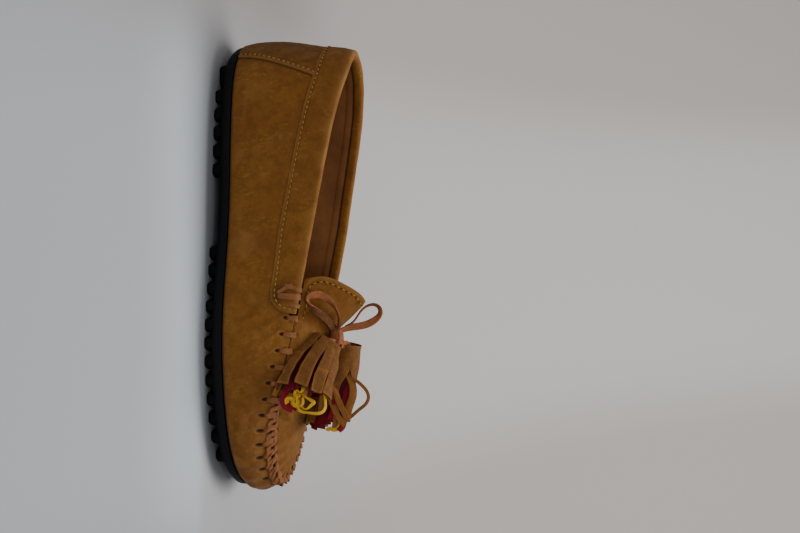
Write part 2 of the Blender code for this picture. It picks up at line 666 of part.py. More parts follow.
def cord(name, points, finish, width=LACE_TUBE):
    """A free stretch of the lace as a round tube."""
    curve = bpy.data.curves.new(name, "CURVE")
    curve.dimensions = "3D"
    curve.bevel_depth = width / 2 * MM
    curve.bevel_resolution = 2
    curve.use_fill_caps = True
    way = curve.splines.new("POLY")
    points = place(points)
    way.points.add(len(points) - 1)
    for knot, point in zip(way.points, points):
        knot.co = (*point, 1)
    curve.materials.append(finish)
    made = bpy.data.objects.new(name, curve)
    bpy.context.scene.collection.objects.link(made)
    return made


def make_knot(finish):
    """The bow's knot, on the apron."""
    mesh = bpy.data.meshes.new("bow_knot")
    bm = bmesh.new()
    bmesh.ops.create_uvsphere(bm, u_segments=12, v_segments=8, radius=1)
    for corner in bm.verts:
        corner.co = Vector(place(np.array(corner.co) * KNOT_HALF + KNOT))
    bm.to_mesh(mesh)
    bm.free()
    mesh.materials.append(finish)
    mesh.shade_smooth()
    made = bpy.data.objects.new("bow_knot", mesh)
    bpy.context.scene.collection.objects.link(made)
    return made


def tassel_sections(name):
    """The tassel's outlines from its head to its open end and back inside, with a slit between two strips."""
    form = dict(zip(TASSEL_NAMES.split(), TASSELS[name]))
    head, end, long_way = (np.array(form[key], float) for key in ("head", "end", "long_way"))
    axis = unit(end - head)
    across = unit(np.cross(axis, long_way))
    long_way = np.cross(across, axis)
    strip = np.repeat(np.arange(TASSEL_STRIPS), 4)
    angle = (strip + np.tile([0.07, 0.5, 0.93, 1.0], TASSEL_STRIPS)) * 2 * np.pi / TASSEL_STRIPS
    slit = np.tile([0, 0, 0, 1], TASSEL_STRIPS)
    ragged = RAGGED * np.sin(strip * 2.4 + head[1])
    sections = []
    for values in TASSEL_ROWS:
        row = dict(zip(ROW_NAMES.split(), values))
        radius = form["head_radius"]
        half = radius + (np.array([form["long"], form["short"]]) - radius) * row["grown"] - row["taken_in"]
        depth = 1 - slit * row["slit"] / half.mean()
        middle = head + (end - head) * row["share"] + axis * (ragged * row["ragged"])[:, None]
        round_long = (np.cos(angle) * half[0] * depth)[:, None] * long_way
        sections.append(middle + round_long + (np.sin(angle) * half[1] * depth)[:, None] * across)
    return np.array(sections)


def arched_strip(finish):
    """The thin strip that stands in an arch over the far tassel."""
    bow = route(ARCHED_STRIP, 2 * LACE_TUBE)
    along = unit(np.gradient(bow, axis=0))
    sideways = unit(np.cross(along, ARCHED_FACING)) * ARCHED_THICK / 2
    flat = unit(np.cross(sideways, along)) * ARCHED_WIDE / 2
    corners = [(1, 1), (1, -1), (-1, -1), (-1, 1)]
    return swept("arched_strip", np.stack([bow + sideways * a + flat * b for a, b in corners], 1), finish)


def make_tassel(name, finish):
    made = swept(name, tassel_sections(name), finish)
    if name == "tassel_far":
        strip = arched_strip(finish)
        strip.hide_render = True
        strip.display_type = "WIRE"
        join = made.modifiers.new("Strip", "BOOLEAN")
        join.operation = "UNION"
        join.solver = "EXACT"
        join.object = strip
    return made


def clear_scene():
    for each in list(bpy.data.objects):
        bpy.data.objects.remove(each)


def main():
    clear_scene()
    nubuck = material("tan_nubuck", (0.36, 0.19, 0.06), 0.85)
    rubber = material("black_rubber", (0.02, 0.02, 0.022), 0.6)
    lining = material("lining_leather", (0.24, 0.11, 0.055), 0.6)
    lace = material("salmon_lace", (0.52, 0.24, 0.13), 0.6)
    suede = material("tassel_suede", (0.27, 0.13, 0.055), 0.9)
    make_upper(nubuck)
    make_outsole(rubber)
    make_insole(lining)
    make_apron(nubuck)
    make_collar_cuff(nubuck)
    make_heel_counter(nubuck)
    make_whip_lace(lace)
    make_tie("cuff_tie_lateral", -1, lace)
    make_tie("cuff_tie_medial", 1, lace)
    make_knot(lace)
    cord("bow_loop_near", route(NEAR_LOOP), lace)
    cord("bow_loop_far", route(FAR_LOOP), lace)
    cord("lace_end_near", route(NEAR_END, LACE_TUBE), lace)
    cord("lace_end_far", route(FAR_END, LACE_TUBE), lace)
    make_tassel("tassel_near", suede)
    make_tassel("tassel_far", suede)


main()
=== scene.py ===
"""Tassel moccasin loafer for the right foot: its leather, its lace, its tassels and its rubber sole.

Shapes are in millimetres, measured as a shoemaker measures a last: from the back of the heel, from the foot's
long axis and from the floor. `place` moves them into the frame and turns them into metres.
"""

import bmesh
import bpy
import numpy as np
from mathutils import Matrix, Vector


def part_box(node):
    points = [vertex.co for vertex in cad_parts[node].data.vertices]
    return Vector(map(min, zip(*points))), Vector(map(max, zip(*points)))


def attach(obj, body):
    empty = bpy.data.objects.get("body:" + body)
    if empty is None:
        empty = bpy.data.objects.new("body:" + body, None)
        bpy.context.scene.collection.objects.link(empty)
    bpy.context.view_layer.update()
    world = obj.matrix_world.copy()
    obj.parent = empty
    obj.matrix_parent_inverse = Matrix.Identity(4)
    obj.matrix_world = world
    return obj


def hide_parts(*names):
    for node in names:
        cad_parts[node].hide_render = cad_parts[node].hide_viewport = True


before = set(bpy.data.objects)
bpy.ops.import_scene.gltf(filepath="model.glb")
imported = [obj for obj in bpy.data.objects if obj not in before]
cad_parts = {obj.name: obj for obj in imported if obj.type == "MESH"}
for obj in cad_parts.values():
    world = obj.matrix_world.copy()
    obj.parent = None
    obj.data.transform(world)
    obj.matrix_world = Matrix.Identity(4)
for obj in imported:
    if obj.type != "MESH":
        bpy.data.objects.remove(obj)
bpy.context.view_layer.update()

# ---- The last, as the part's source has it ----

MM = 0.001
LENGTH = 245.0
LEATHER = 1.8
SOLE_TOP = 11.0
FOOT_ENDS = (3.6, 240.8)
TOP_ENDS = (8.6, 241.0)
SPRING_FROM = 150.0
SPRING = 0.9
MARGIN = 7.0

SECTION_NAMES = "station foot_outer foot_inner top_outer top_inner height_outer height_inner belly curl"
SECTIONS = np.array(
    [
        (0.00, 0.0, 0.0, 0.0, 0.0, 72.5, 72.5, 3.2, 1.0),
        (0.02, 14.0, 13.5, 9.4, 9.2, 72.5, 72.6, 3.2, 1.0),
        (0.06, 22.8, 22.0, 16.6, 16.4, 71.6, 72.2, 3.2, 1.0),
        (0.12, 27.8, 27.0, 22.6, 22.8, 68.8, 70.4, 3.1, 1.0),
        (0.20, 30.0, 29.0, 27.4, 27.0, 65.5, 67.3, 3.0, 1.0),
        (0.30, 30.8, 28.0, 29.6, 28.8, 61.4, 63.4, 2.6, 1.1),
        (0.40, 32.0, 27.5, 30.3, 29.0, 57.2, 60.0, 2.4, 1.2),
        (0.50, 35.5, 29.0, 30.5, 28.5, 53.2, 55.8, 2.4, 1.4),
        (0.60, 39.8, 32.8, 31.0, 29.5, 49.0, 50.5, 2.6, 1.8),
        (0.70, 41.5, 37.5, 30.0, 30.5, 43.5, 44.5, 3.0, 2.2),
        (0.78, 39.8, 39.0, 27.5, 30.5, 38.3, 40.7, 3.4, 2.4),
        (0.86, 35.2, 37.0, 22.5, 28.5, 33.5, 36.9, 3.8, 2.4),
        (0.93, 27.4, 31.6, 14.5, 23.5, 30.5, 34.0, 4.0, 2.2),
        (0.975, 15.8, 23.0, 6.0, 16.0, 29.8, 32.2, 4.0, 2.0),
        (1.00, -5.0, 5.0, -5.0, 5.0, 30.3, 30.3, 4.0, 2.0),
    ]
)
LAST = dict(zip(SECTION_NAMES.split(), SECTIONS.T))

APRON_NAMES = "edge middle crown arch".split()
APRON_ROWS = np.array(
    [
        (134.5, 145.2, 78.1, 1.65),
        (139.5, 150.0, 73.0, 1.75),
        (145.0, 155.0, 67.3, 1.90),
        (150.5, 159.6, 61.8, 2.00),
        (157.0, 164.4, 58.2, 2.10),
        (164.0, 169.6, 55.4, 2.20),
        (174.0, 177.2, 52.3, 2.30),
        (188.0, 189.0, 48.0, 2.30),
        (204.0, 204.0, 43.0, 2.30),
        (220.0, 220.0, 37.9, 2.30),
        (232.0, 232.0, 33.7, 2.30),
        (240.6, 240.6, 30.3, 2.30),
    ]
)
APRON = dict(zip(APRON_NAMES, APRON_ROWS.T))
TUCKED_IN = 5.6
TUCKED_TO = 153.4
SEWN_FROM = 158.0
TIP_FLARE = [(0.0, 0.4), (0.1, 2.5), (0.3, 5.2), (0.5, 6.6), (0.8, 6.0), (1.0, 0.5)]
FLARE_TO = 152.0
FAR_FLARE = 0.3
SINK = 1.2
SEAM_GAP = 0.5
APRON_TIP = 238.6

# The sole's plate and studs
PLATE_BOTTOM = 5.0
FLANGE = 0.8
HEEL_LIFT = 2.6
HEEL_CURVE = 16.0
STUD_WIDTH = 8.4
STUD_CUT = 1.8
STUD_CORNER = 1.3
STUD_INSET = 2.2
STUD_PITCH_ACROSS = 12.0
STUD_ROWS = [(14.3, 28.2), *((x, x + 9.2) for x in 29.2 + 10.1 * np.arange(5))]
STUD_ROWS += [(x, x + 8.7) for x in 114.9 + 9.7 * np.arange(12)]

# The footbed
INSOLE = 2.4
INSOLE_INSET = 3.9

# The collar band
BAND_OVER = 3.4
BAND_END = 153.0
BAND_DEPTH = 17.1
BAND_RISE, BAND_RISE_FROM = 3.0, 110.0
BAND_CORNER = 10.0

# The backstay
COUNTER = 1.3
COUNTER_FRONT = (18.0, 27.0)  # its front edge at its lower and its upper end
COUNTER_GAP = 0.3  # from the upper's skin
COUNTER_SEAM = 2.4  # from its front edge to its row of stitches
ARC_OVER_CHORD = 1.06

# The lace and the whip stitches
LACE = 1.1
LACE_WIDTH = 4.0
STITCH_PITCH = 8.75
TOE_CLOSER = 0.2
TOE_FROM, TOE_TO = 205.0, 230.0
STITCH_DEPTH = (4.0, 4.3, 4.6)
STITCH_DEPTH_AT = (151.0, 205.0, 238.0)
STITCHED_FROM = 151.0

# The thread
THREAD_PITCH = 2.9
THREAD_LENGTH = 2.0
THREAD = 0.82  # its thickness
THREAD_INSET = 2.1  # from the band's edge to its row of stitches
TONGUE_INSET = 2.7  # and from the tongue's edge
ON_BAND = 1.95  # how far out of the skin the band's row lies


def spline(at, knots, values, period=None):
    """A smooth curve through the values: closed on itself with a period, with free ends without one."""
    knots, values = np.asarray(knots, float), np.asarray(values, float)
    at = np.asarray(at, float)
    if period:
        reach = 4
        knots = np.concatenate([knots[-reach:] - period, knots, knots[:reach] + period])
        values = np.concatenate([values[-reach:], values, values[:reach]])
        at = at % period
    step = np.diff(knots)
    slope = np.diff(values) / step
    count = len(knots)
    system = np.eye(count)
    right = np.zeros(count)
    for i in range(1, count - 1):
        system[i, i - 1 : i + 2] = step[i - 1], 2 * (step[i - 1] + step[i]), step[i]
        right[i] = 6 * (slope[i] - slope[i - 1])
    bend = np.linalg.solve(system, right)
    i = np.clip(np.searchsorted(knots, at, side="right") - 1, 0, count - 2)
    t = at - knots[i]
    h = step[i]
    return (
        values[i]
        + t * (slope[i] - h * (2 * bend[i] + bend[i + 1]) / 6)
        + t**2 * bend[i] / 2
        + t**3 * (bend[i + 1] - bend[i]) / (6 * h)
    )


def round_foot(turn, outer, inner, sides=(1, 1)):
    """A column of the last's table round the shoe: the heel's back at 0, the outer side, the toe at pi."""
    station = np.arccos(1 - 2 * LAST["station"])
    knots = np.concatenate([station, 2 * np.pi - station[-2:0:-1]])
    values = np.concatenate([sides[0] * LAST[outer], sides[1] * LAST[inner][-2:0:-1]])
    return spline(turn, knots, values, 2 * np.pi)


def spring(x):
    return SPRING * np.clip((x - SPRING_FROM) / (LENGTH - SPRING_FROM), 0, 1) ** 1.5


def on_sole(points, above=0.0):
    """The same places along and across, at a height above the feather line."""
    x, y = points[..., 0], points[..., 1]
    return np.stack([x, y, SOLE_TOP + spring(x) + above], -1)


def foot_line(turn):
    """The feather line, where the upper meets the sole."""
    x = FOOT_ENDS[0] + (FOOT_ENDS[1] - FOOT_ENDS[0]) * (1 - np.cos(turn)) / 2
    y = round_foot(turn, "foot_outer", "foot_inner", (-1, 1))
    return np.stack([x, y, SOLE_TOP + spring(x)], -1)


def top_line(turn):
    """The collar's top, and in front of it the seam round the apron."""
    x = TOP_ENDS[0] + (TOP_ENDS[1] - TOP_ENDS[0]) * (1 - np.cos(turn)) / 2
    y = round_foot(turn, "top_outer", "top_inner", (-1, 1))
    return np.stack([x, y, round_foot(turn, "height_outer", "height_inner")], -1)


def unit(vectors):
    return vectors / np.linalg.norm(vectors, axis=-1, keepdims=True)


def way_along(points):
    """How far along a line each of its points lies."""
    return np.concatenate([[0], np.cumsum(np.linalg.norm(np.diff(points, axis=0), axis=1))])


def between(at, knots, rows):
    """Rows of three numbers, blended in a straight line between their knots."""
    return np.stack([np.interp(at, knots, rows[:, k]) for k in range(3)], 1)


def named(names, rows):
    """A table's rows, with a name for each column."""
    return [dict(zip(names, row)) for row in rows]


def outward(turn):
    """The level direction out of the shoe at the feather line."""
    along = foot_line(turn + 1e-3) - foot_line(turn - 1e-3)
    return unit(np.stack([along[..., 1], -along[..., 0], 0 * along[..., 0]], -1))


def skin(turn, rise):
    """The outside of the upper: rise is 0 at the sole and 1 at the top line."""
    turn, rise = np.broadcast_arrays(np.asarray(turn, float), np.asarray(rise, float))
    foot, top = foot_line(turn), top_line(turn)
    leant = rise ** round_foot(turn, "curl", "curl")
    swell = round_foot(turn, "belly", "belly") * 6.75 * rise * (1 - rise) ** 2
    blend = np.stack([leant, leant, rise], -1)
    return foot + (top - foot) * blend + outward(turn) * swell[..., None]


def skin_frame(turn, rise):
    """The skin's normal and its direction towards the top."""
    turn, rise = np.broadcast_arrays(np.asarray(turn, float), np.asarray(rise, float))
    step = 1e-3
    rise = np.clip(rise, step, 1 - step)
    up = skin(turn, rise + step) - skin(turn, rise - step)
    along = skin(turn + step, rise) - skin(turn - step, rise)
    return unit(np.cross(along, up)), unit(up)


def wall(turn, rise, out=0.0):
    """A point so many millimetres outside the upper's skin."""
    return skin(turn, rise) + skin_frame(turn, rise)[0] * np.asarray(out, float)[..., None]


def height_at(turn):
    return top_line(turn)[..., 2] - foot_line(turn)[..., 2]


def below_top(turn, down):
    """The rise that lies so many millimetres under the top line."""
    return 1 - down / height_at(turn)


def turn_at(x, ends=TOP_ENDS):
    """How far round the outer side a place along the shoe is; the inner side has minus that."""
    return np.arccos(1 - 2 * (np.asarray(x, float) - ends[0]) / (ends[1] - ends[0]))


SEAM_TURNS = np.linspace(0, 2 * np.pi, 1441)
SEAM = top_line(SEAM_TURNS)
SEAM_WAY = way_along(SEAM)


def seam_near(points):
    """How far points lie inside the seam, and how far round the seam's nearest place is."""
    flat = points.reshape(-1, 3)
    away = np.linalg.norm(flat[:, None, :2] - SEAM[None, :, :2], axis=2)
    shape = points.shape[:-1]
    return away.min(1).reshape(shape), SEAM_TURNS[away.argmin(1)].reshape(shape)


def sewn_share(edge):
    """0 where the apron's edges are tucked in, 1 where they are sewn."""
    return np.clip((edge - TUCKED_TO) / (SEWN_FROM - TUCKED_TO), 0, 1)


def apron_edge(edge, side):
    """The apron's edge at a place along the shoe; side is -1 or 1."""
    turn = -side * turn_at(np.minimum(edge, TOP_ENDS[1] - 0.1))
    sewn = top_line(turn) + skin_frame(turn, 1.0)[1] * SEAM_GAP
    tucked = np.array([edge, sewn[1] - side * TUCKED_IN, sewn[2] - 1.0])
    return tucked + (sewn - tucked) * sewn_share(edge)


def tip_flare(edge, across):
    """How much further back than its row a point of the tongue's rounded tip reaches."""
    share = np.clip((FLARE_TO - edge) / (FLARE_TO - APRON["edge"][0]), 0, 1) ** 2
    return share * spline(abs(across), *zip(*TIP_FLARE)) * np.where(np.asarray(across) > 0, FAR_FLARE, 1)


def apron(edge, across):
    """The top of the apron and tongue: across runs from -1 at the outer edge to 1 at the inner one."""
    across = np.atleast_1d(across)
    outer, inner = apron_edge(edge, -1), apron_edge(edge, 1)
    middle, crown, arch = (spline(edge, APRON["edge"], APRON[k]) for k in ("middle", "crown", "arch"))
    points = outer + (inner - outer) * (across[:, None] + 1) / 2
    points[:, 0] += (middle - edge) * (1 - across**2) - tip_flare(edge, across)
    points[:, 2] += (crown - (outer[2] + inner[2]) / 2) * (1 - abs(across) ** arch)
    away = seam_near(points)[0]
    points[:, 2] -= SINK * sewn_share(edge) * (1 - np.exp(-((away / 2.2) ** 2))) * np.exp(-away / 12)
    return points


def frame_offset():
    """From the heel and the foot's axis to the frame, fixed by the sole's back and the upper's outer side."""
    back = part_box("outsole")[0][0] / MM - (FOOT_ENDS[0] - FLANGE)
    widest = skin(np.linspace(0, np.pi, 200)[:, None], np.linspace(0, 1, 60)[None])[..., 1].min()
    return np.array([back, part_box("upper")[0][1] / MM - widest, 0.0])


OFFSET = frame_offset()


def place(points):
    return (np.asarray(points, float) + OFFSET) * MM


# ---- Making pieces ----


def smooth(value, low, high):
    """0 below low, 1 above high, and a soft step between them."""
    t = np.clip((value - low) / (high - low), 0, 1)
    return t * t * (3 - 2 * t)


def bell(value, middle, width):
    return np.exp(-(((value - middle) / width) ** 2))


def unevenness(points, size, seed):
    """Soft hills and hollows from -1 to 1, about `size` millimetres apart."""
    chance = np.random.default_rng(seed)
    total = np.zeros(points.shape[:-1])
    for _ in range(6):
        way = unit(chance.normal(size=3)) * 2 * np.pi / (size * chance.uniform(0.7, 1.5))
        total += np.sin(points @ way + chance.uniform(0, 2 * np.pi))
    return total / 3


class Piece:
    """The grids of one piece, gathered until they become a mesh."""

    def __init__(self, name):
        self.name = name
        self.points, self.faces, self.finishes, self.marks, self.maps = [], [], [], [], []
        self.count = 0

    def grid(self, points, wrap_rows=False, wrap_columns=False, caps=False, finish=0, uv=None, **marks):
        """Faces between the rows and columns of points. A mark is a number for each point."""
        rows, columns = points.shape[:2]
        i, j = np.meshgrid(
            np.arange(rows if wrap_rows else rows - 1),
            np.arange(columns if wrap_columns else columns - 1),
            indexing="ij",
        )
        i, j = i.ravel(), j.ravel()
        below, beside = (i + 1) % rows, (j + 1) % columns
        corners = [(i, j), (below, j), (below, beside), (i, beside)]
        faces = np.stack([self.count + a * columns + b for a, b in corners], 1)
        self.faces += faces.tolist()
        kinds = np.broadcast_to(finish, (rows, columns))[i, j]
        self.finishes += kinds.tolist()
        if caps:
            ends = self.count + np.arange(columns), self.count + (rows - 1) * columns + np.arange(columns)
            self.faces += [ends[0][::-1].tolist(), ends[1].tolist()]
            self.finishes += [int(kinds[0]), int(kinds[-1])]
        self.points.append(points.reshape(-1, 3))
        self.maps.append(np.zeros((rows * columns, 2)) if uv is None else uv.reshape(-1, 2))
        flat = {key: np.broadcast_to(value, (rows, columns)).ravel() for key, value in marks.items()}
        self.marks.append((rows * columns, flat))
        self.count += rows * columns
        return self

    def make(self, *materials, sharp=0.7, closed=True):
        points = place(np.concatenate(self.points))
        mesh = bpy.data.meshes.new(self.name)
        mesh.from_pydata(points.tolist(), [], self.faces)
        mesh.polygons.foreach_set("material_index", self.finishes)
        for key in sorted({key for _, flat in self.marks for key in flat}):
            values = np.concatenate([flat.get(key, np.zeros(count)) for count, flat in self.marks])
            mesh.attributes.new(key, "FLOAT", "POINT").data.foreach_set("value", values)
        layer = mesh.attributes.new("laid", "FLOAT_VECTOR", "POINT")
        laid = np.concatenate(self.maps)
        layer.data.foreach_set("vector", np.column_stack([laid, np.zeros(len(laid))]).ravel())
        for material in materials:
            mesh.materials.append(material)
        tidy(mesh, closed)
        mesh.shade_smooth()
        mesh.set_sharp_from_angle(angle=sharp)
        return show(self.name, mesh)


def tidy(mesh, closed=True):
    """Joins points that coincide and turns a closed mesh's faces outwards."""
    bm = bmesh.new()
    bm.from_mesh(mesh)
    bmesh.ops.remove_doubles(bm, verts=bm.verts, dist=1e-6)
    if closed:
        bmesh.ops.recalc_face_normals(bm, faces=bm.faces)
        if bm.calc_volume(signed=True) < 0:
            bmesh.ops.reverse_faces(bm, faces=bm.faces)
    bm.to_mesh(mesh)
    bm.free()


def show(name, data):
    made = bpy.data.objects.new(name, data)
    bpy.context.scene.collection.objects.link(made)
    return made


def settle(made, slot, *nodes):
    """A finished piece rides on the shoe and stands for its solids; the slot is not used."""
    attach(made, "root")
    if nodes:
        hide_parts(*nodes)
    return made


def smooth_path(points, count):
    """Even points on a smooth curve through a few."""
    points = np.asarray(points, float)
    way = way_along(points)
    fine = np.stack([spline(np.linspace(0, way[-1], 400), way, points[:, k]) for k in range(3)], 1)
    even = way_along(fine)
    return between(np.linspace(0, even[-1], count), even, fine)


# A flat strip's section: half width, half thickness and which side of the leather it is, 1 for the flesh side
STRIP = np.array(
    [
        (-0.86, 1.0, 0),
        (0.0, 1.06, 0),
        (0.86, 1.0, 0),
        (1.0, 0.55, 0.3),
        (1.0, -0.55, 0.7),
        (0.86, -1.0, 1),
        (0.0, -1.0, 1),
        (-0.86, -1.0, 1),
        (-1.0, -0.55, 0.7),
        (-1.0, 0.55, 0.3),
    ]
)


def strip(piece, path, facing, width, thick, twist=0.0, **marks):
    """A flat strip along a path. Its grain side faces `facing`, turned round it by `twist` half turns."""
    count = len(path)
    along = unit(np.gradient(path, axis=0))
    facing = np.broadcast_to(np.asarray(facing, float), path.shape)
    side = unit(np.cross(along, facing))
    front = np.cross(side, along)
    angle = np.broadcast_to(np.asarray(twist, float), count)[:, None] * np.pi
    across = side * np.cos(angle) + front * np.sin(angle)
    through = front * np.cos(angle) - side * np.sin(angle)
    width = np.broadcast_to(np.asarray(width, float), count)[:, None, None]
    thick = np.broadcast_to(np.asarray(thick, float), count)[:, None, None]
    section = STRIP[None]
    points = path[:, None] + across[:, None] * section[..., :1] * width / 2
    points = points + through[:, None] * section[..., 1:2] * thick / 2
    way = way_along(path)
    laid = np.stack(np.broadcast_arrays(way[:, None], section[..., 0] * width[..., 0] / 2), -1)
    piece.grid(points, wrap_columns=True, caps=True, uv=laid, flesh=STRIP[:, 2][None], **marks)


# ---- Finishes ----


class Wire:
    """A socket's value: sums on it add Math nodes."""

    def __init__(self, board, socket):
        self.board, self.socket = board, socket

    def math(self, operation, *values):
        return self.board.node("ShaderNodeMath", {"operation": operation}, dict(enumerate(values)))

    def __add__(self, other):
        return self.math("ADD", self, other)

    def __sub__(self, other):
        return self.math("SUBTRACT", self, other)

    def __rsub__(self, other):
        return self.math("SUBTRACT", other, self)

    def __mul__(self, other):
        return self.math("MULTIPLY", self, other)

    __radd__ = __add__
    __rmul__ = __mul__


class Board:
    """A material's nodes."""

    def __init__(self, name):
        self.material = bpy.data.materials.new(name)
        self.material.use_nodes = True
        self.tree = self.material.node_tree
        self.tree.nodes.clear()

    def node(self, kind, settings=None, inputs=None, output=0):
        made = self.tree.nodes.new(kind)
        for key, value in (settings or {}).items():
            setattr(made, key, value)
        for key, value in (inputs or {}).items():
            if isinstance(value, Wire):
                self.tree.links.new(value.socket, made.inputs[key])
            else:
                made.inputs[key].default_value = value
        return Wire(self, made.outputs[output])

    def place(self, scale=(1, 1, 1)):
        """The piece's own coordinates, in millimetres times a scale."""
        at = self.node("ShaderNodeTexCoord", output="Object")
        return self.node("ShaderNodeMapping", None, {"Vector": at, "Scale": tuple(s / MM for s in scale)})

    def mark(self, name):
        return self.node("ShaderNodeAttribute", {"attribute_name": name}, output="Fac")

    def noise(self, scale, detail=3.0, rough=0.55, stretch=(1, 1, 1)):
        """Noise from 0 to 1 with features about 1 / scale millimetres across."""
        values = {"Vector": self.place(stretch), "Scale": scale, "Detail": detail, "Roughness": rough}
        return self.node("ShaderNodeTexNoise", {"noise_dimensions": "3D"}, values)

    def step(self, value, low, high):
        """0 below low, 1 above high, smooth between."""
        settings = {"interpolation_type": "SMOOTHSTEP"}
        return self.node("ShaderNodeMapRange", settings, {"Value": value, "From Min": low, "From Max": high})

    def mix(self, share, first, second):
        colours = [c if isinstance(c, Wire) else (*c, 1) for c in (first, second)]
        settings = {"data_type": "RGBA", "blend_type": "MIX", "clamp_factor": True}
        return self.node("ShaderNodeMix", settings, {0: share, 6: colours[0], 7: colours[1]}, output=2)

    def bump(self, height, strength, distance):
        values = {"Height": height, "Strength": strength, "Distance": distance * MM}
        return self.node("ShaderNodeBump", None, values)

    def finish(self, colour, roughness, normal=None, **constant):
        values = {"Base Color": colour if isinstance(colour, Wire) else (*colour, 1), "Roughness": roughness}
        if normal:
            values["Normal"] = normal
        for key, value in constant.items():
            values[key.replace("_", " ").title().replace("Ior", "IOR")] = value
        shader = self.node("ShaderNodeBsdfPrincipled", None, values)
        self.node_out(shader)
        return self.material

    def node_out(self, shader):
        made = self.tree.nodes.new("ShaderNodeOutputMaterial")
        self.tree.links.new(shader.socket, made.inputs["Surface"])


TAN = (0.208, 0.074, 0.0118)
TAN_DARK = (0.115, 0.037, 0.0056)
TAN_PALE = (0.345, 0.158, 0.038)
TAN_GOLD = (0.242, 0.095, 0.0128)
TAN_DEEPEST = (0.022, 0.008, 0.003)  # painted shade in holes, under edges and towards the toe, and the band's stain
# LINING_DEEPEST is painted shadow along the band's hem line
LINING_PALE, LINING_DARK, LINING_DEEPEST = (0.32, 0.138, 0.037), (0.21, 0.08, 0.022), (0.012, 0.005, 0.002)
RUBBER_BLACK, RUBBER_DUSTY = (0.0025, 0.0024, 0.003), (0.0085, 0.008, 0.0092)
THREAD_DARK, THREAD_PALE = (0.3, 0.16, 0.035), (0.46, 0.27, 0.07)
# HOLE_DARK and HOLE_PALE colour dark beads of painted shade for the needle holes
HOLE_DARK, HOLE_PALE = (0.02, 0.008, 0.003), (0.05, 0.02, 0.006)


def nubuck():
    """Golden tan brushed leather: cloudy, paler where it is rubbed, with small scuffs and a short nap."""
    b = Board("brushed_nubuck")
    clouds = b.step(b.noise(0.035, 4.0, 0.6), 0.32, 0.7)
    blotches = b.step(b.noise(0.2, 6.0, 0.68), 0.38, 0.66)
    worn = b.step(b.noise(0.07, 3.0, 0.6), 0.4, 0.57)
    scuffs = b.step(b.noise(0.6, 5.0, 0.75, stretch=(1, 1, 0.5)), 0.5, 0.66) * worn
    scratches = b.step(b.noise(1.5, 2.0, 0.5, stretch=(0.16, 1, 1)), 0.66, 0.72) * worn
    specks = b.step(b.noise(1.1, 3.0, 0.6), 0.64, 0.78)
    nap = b.noise(2.6, 4.0, 0.75)
    colour = b.mix(clouds, TAN, TAN_GOLD)
    colour = b.mix(blotches * 0.5, colour, TAN_DARK)
    rubbed = b.mark("rubbed") * (b.noise(0.3, 4.0, 0.65) * 0.8 + 0.5)
    colour = b.mix(rubbed, colour, TAN_PALE)
    colour = b.mix(scuffs * 0.55, colour, TAN_PALE)
    colour = b.mix(scratches * 0.3, colour, TAN_PALE)
    colour = b.mix(specks * 0.4, colour, TAN_DARK)
    # painted shade, and the band's stain, from the mesh's mark
    colour = b.mix(b.mark("dark"), colour, TAN_DEEPEST)
    colour = b.mix(b.step(nap, 0.3, 0.75) * 0.22, colour, TAN_PALE)
    height = nap * 0.5 + b.noise(0.7, 3.0) * 0.5
    rough = 0.98 - b.mark("rubbed") * 0.14
    nap = b.bump(height, 0.55, 0.35)
    return b.finish(colour, rough, nap, sheen_weight=0.05, sheen_roughness=0.5, specular_ior_level=0.2)


def cut_leather(name, grain, flesh, edge, clouds_and_kink_shade_scale=0.22):
    """Strips of leather: the grain side, a duller flesh side and the cut edge between them."""
    b = Board(name)
    side = b.mark("flesh")
    colour = b.mix(b.step(side, 0.35, 0.75), grain, flesh)
    colour = b.mix(b.step(b.mark("edge"), 0.2, 0.8), colour, edge)
    # darker clouds in the leather's tone; in the yellow strips, at a finer scale, they are painted shade of
    # the strips' small kinks
    clouds_and_kink_shade = b.step(b.noise(clouds_and_kink_shade_scale, 5.0, 0.68), 0.35, 0.65)
    colour = b.mix(clouds_and_kink_shade * 0.55, colour, tuple(c * 0.5 for c in grain))
    pale = tuple(min(1, c * 1.75) for c in grain)
    worn = b.step(b.noise(0.55, 5.0, 0.7), 0.5, 0.7)
    colour = b.mix(worn * 0.4, colour, pale)
    colour = b.mix(b.mark("rubbed") * (b.noise(0.5, 4.0, 0.7) * 0.9 + 0.3), colour, pale)
    nap = b.noise(2.88, 4.0, 0.75)
    # painted shade from the mesh's mark, where laces go into holes and strips lie deep in a tassel
    colour = b.mix(b.mark("dark"), colour, tuple(c * 0.12 for c in flesh))
    return b.finish(colour, 0.82 + side * 0.12, b.bump(nap, 0.5, 0.3), specular_ior_level=0.25)


def lining():
    """Smooth reddish brown lining leather."""
    b = Board("lining_leather")
    clouds = b.step(b.noise(0.05, 4.0, 0.6), 0.3, 0.7)
    colour = b.mix(clouds, LINING_PALE, LINING_DARK)
    # painted shadow from the mesh's mark, along the band's hem
    colour = b.mix(b.mark("dark"), colour, LINING_DEEPEST)
    grain = b.noise(1.4, 4.0, 0.6)
    return b.finish(colour, 0.55 + grain * 0.2, b.bump(grain, 0.3, 0.2))


def rubber():
    """Matt moulded rubber, nearly black, with a little dust."""
    b = Board("moulded_rubber")
    dust = b.step(b.noise(0.22, 4.0, 0.65), 0.5, 0.75)
    colour = b.mix(dust * 0.35, RUBBER_BLACK, RUBBER_DUSTY)
    grain = b.noise(2.2, 3.0, 0.6)
    return b.finish(colour, 0.6 + dust * 0.25, b.bump(grain, 0.25, 0.15), specular_ior_level=0.18)


def thread():
    """Pale gold twisted sewing thread."""
    b = Board("gold_thread")
    twist = b.noise(2.4, 2.0, 0.5)
    colour = b.mix(b.step(twist, 0.35, 0.65), THREAD_DARK, THREAD_PALE)
    return b.finish(colour, 0.85, b.bump(twist, 0.5, 0.2), specular_ior_level=0.15)


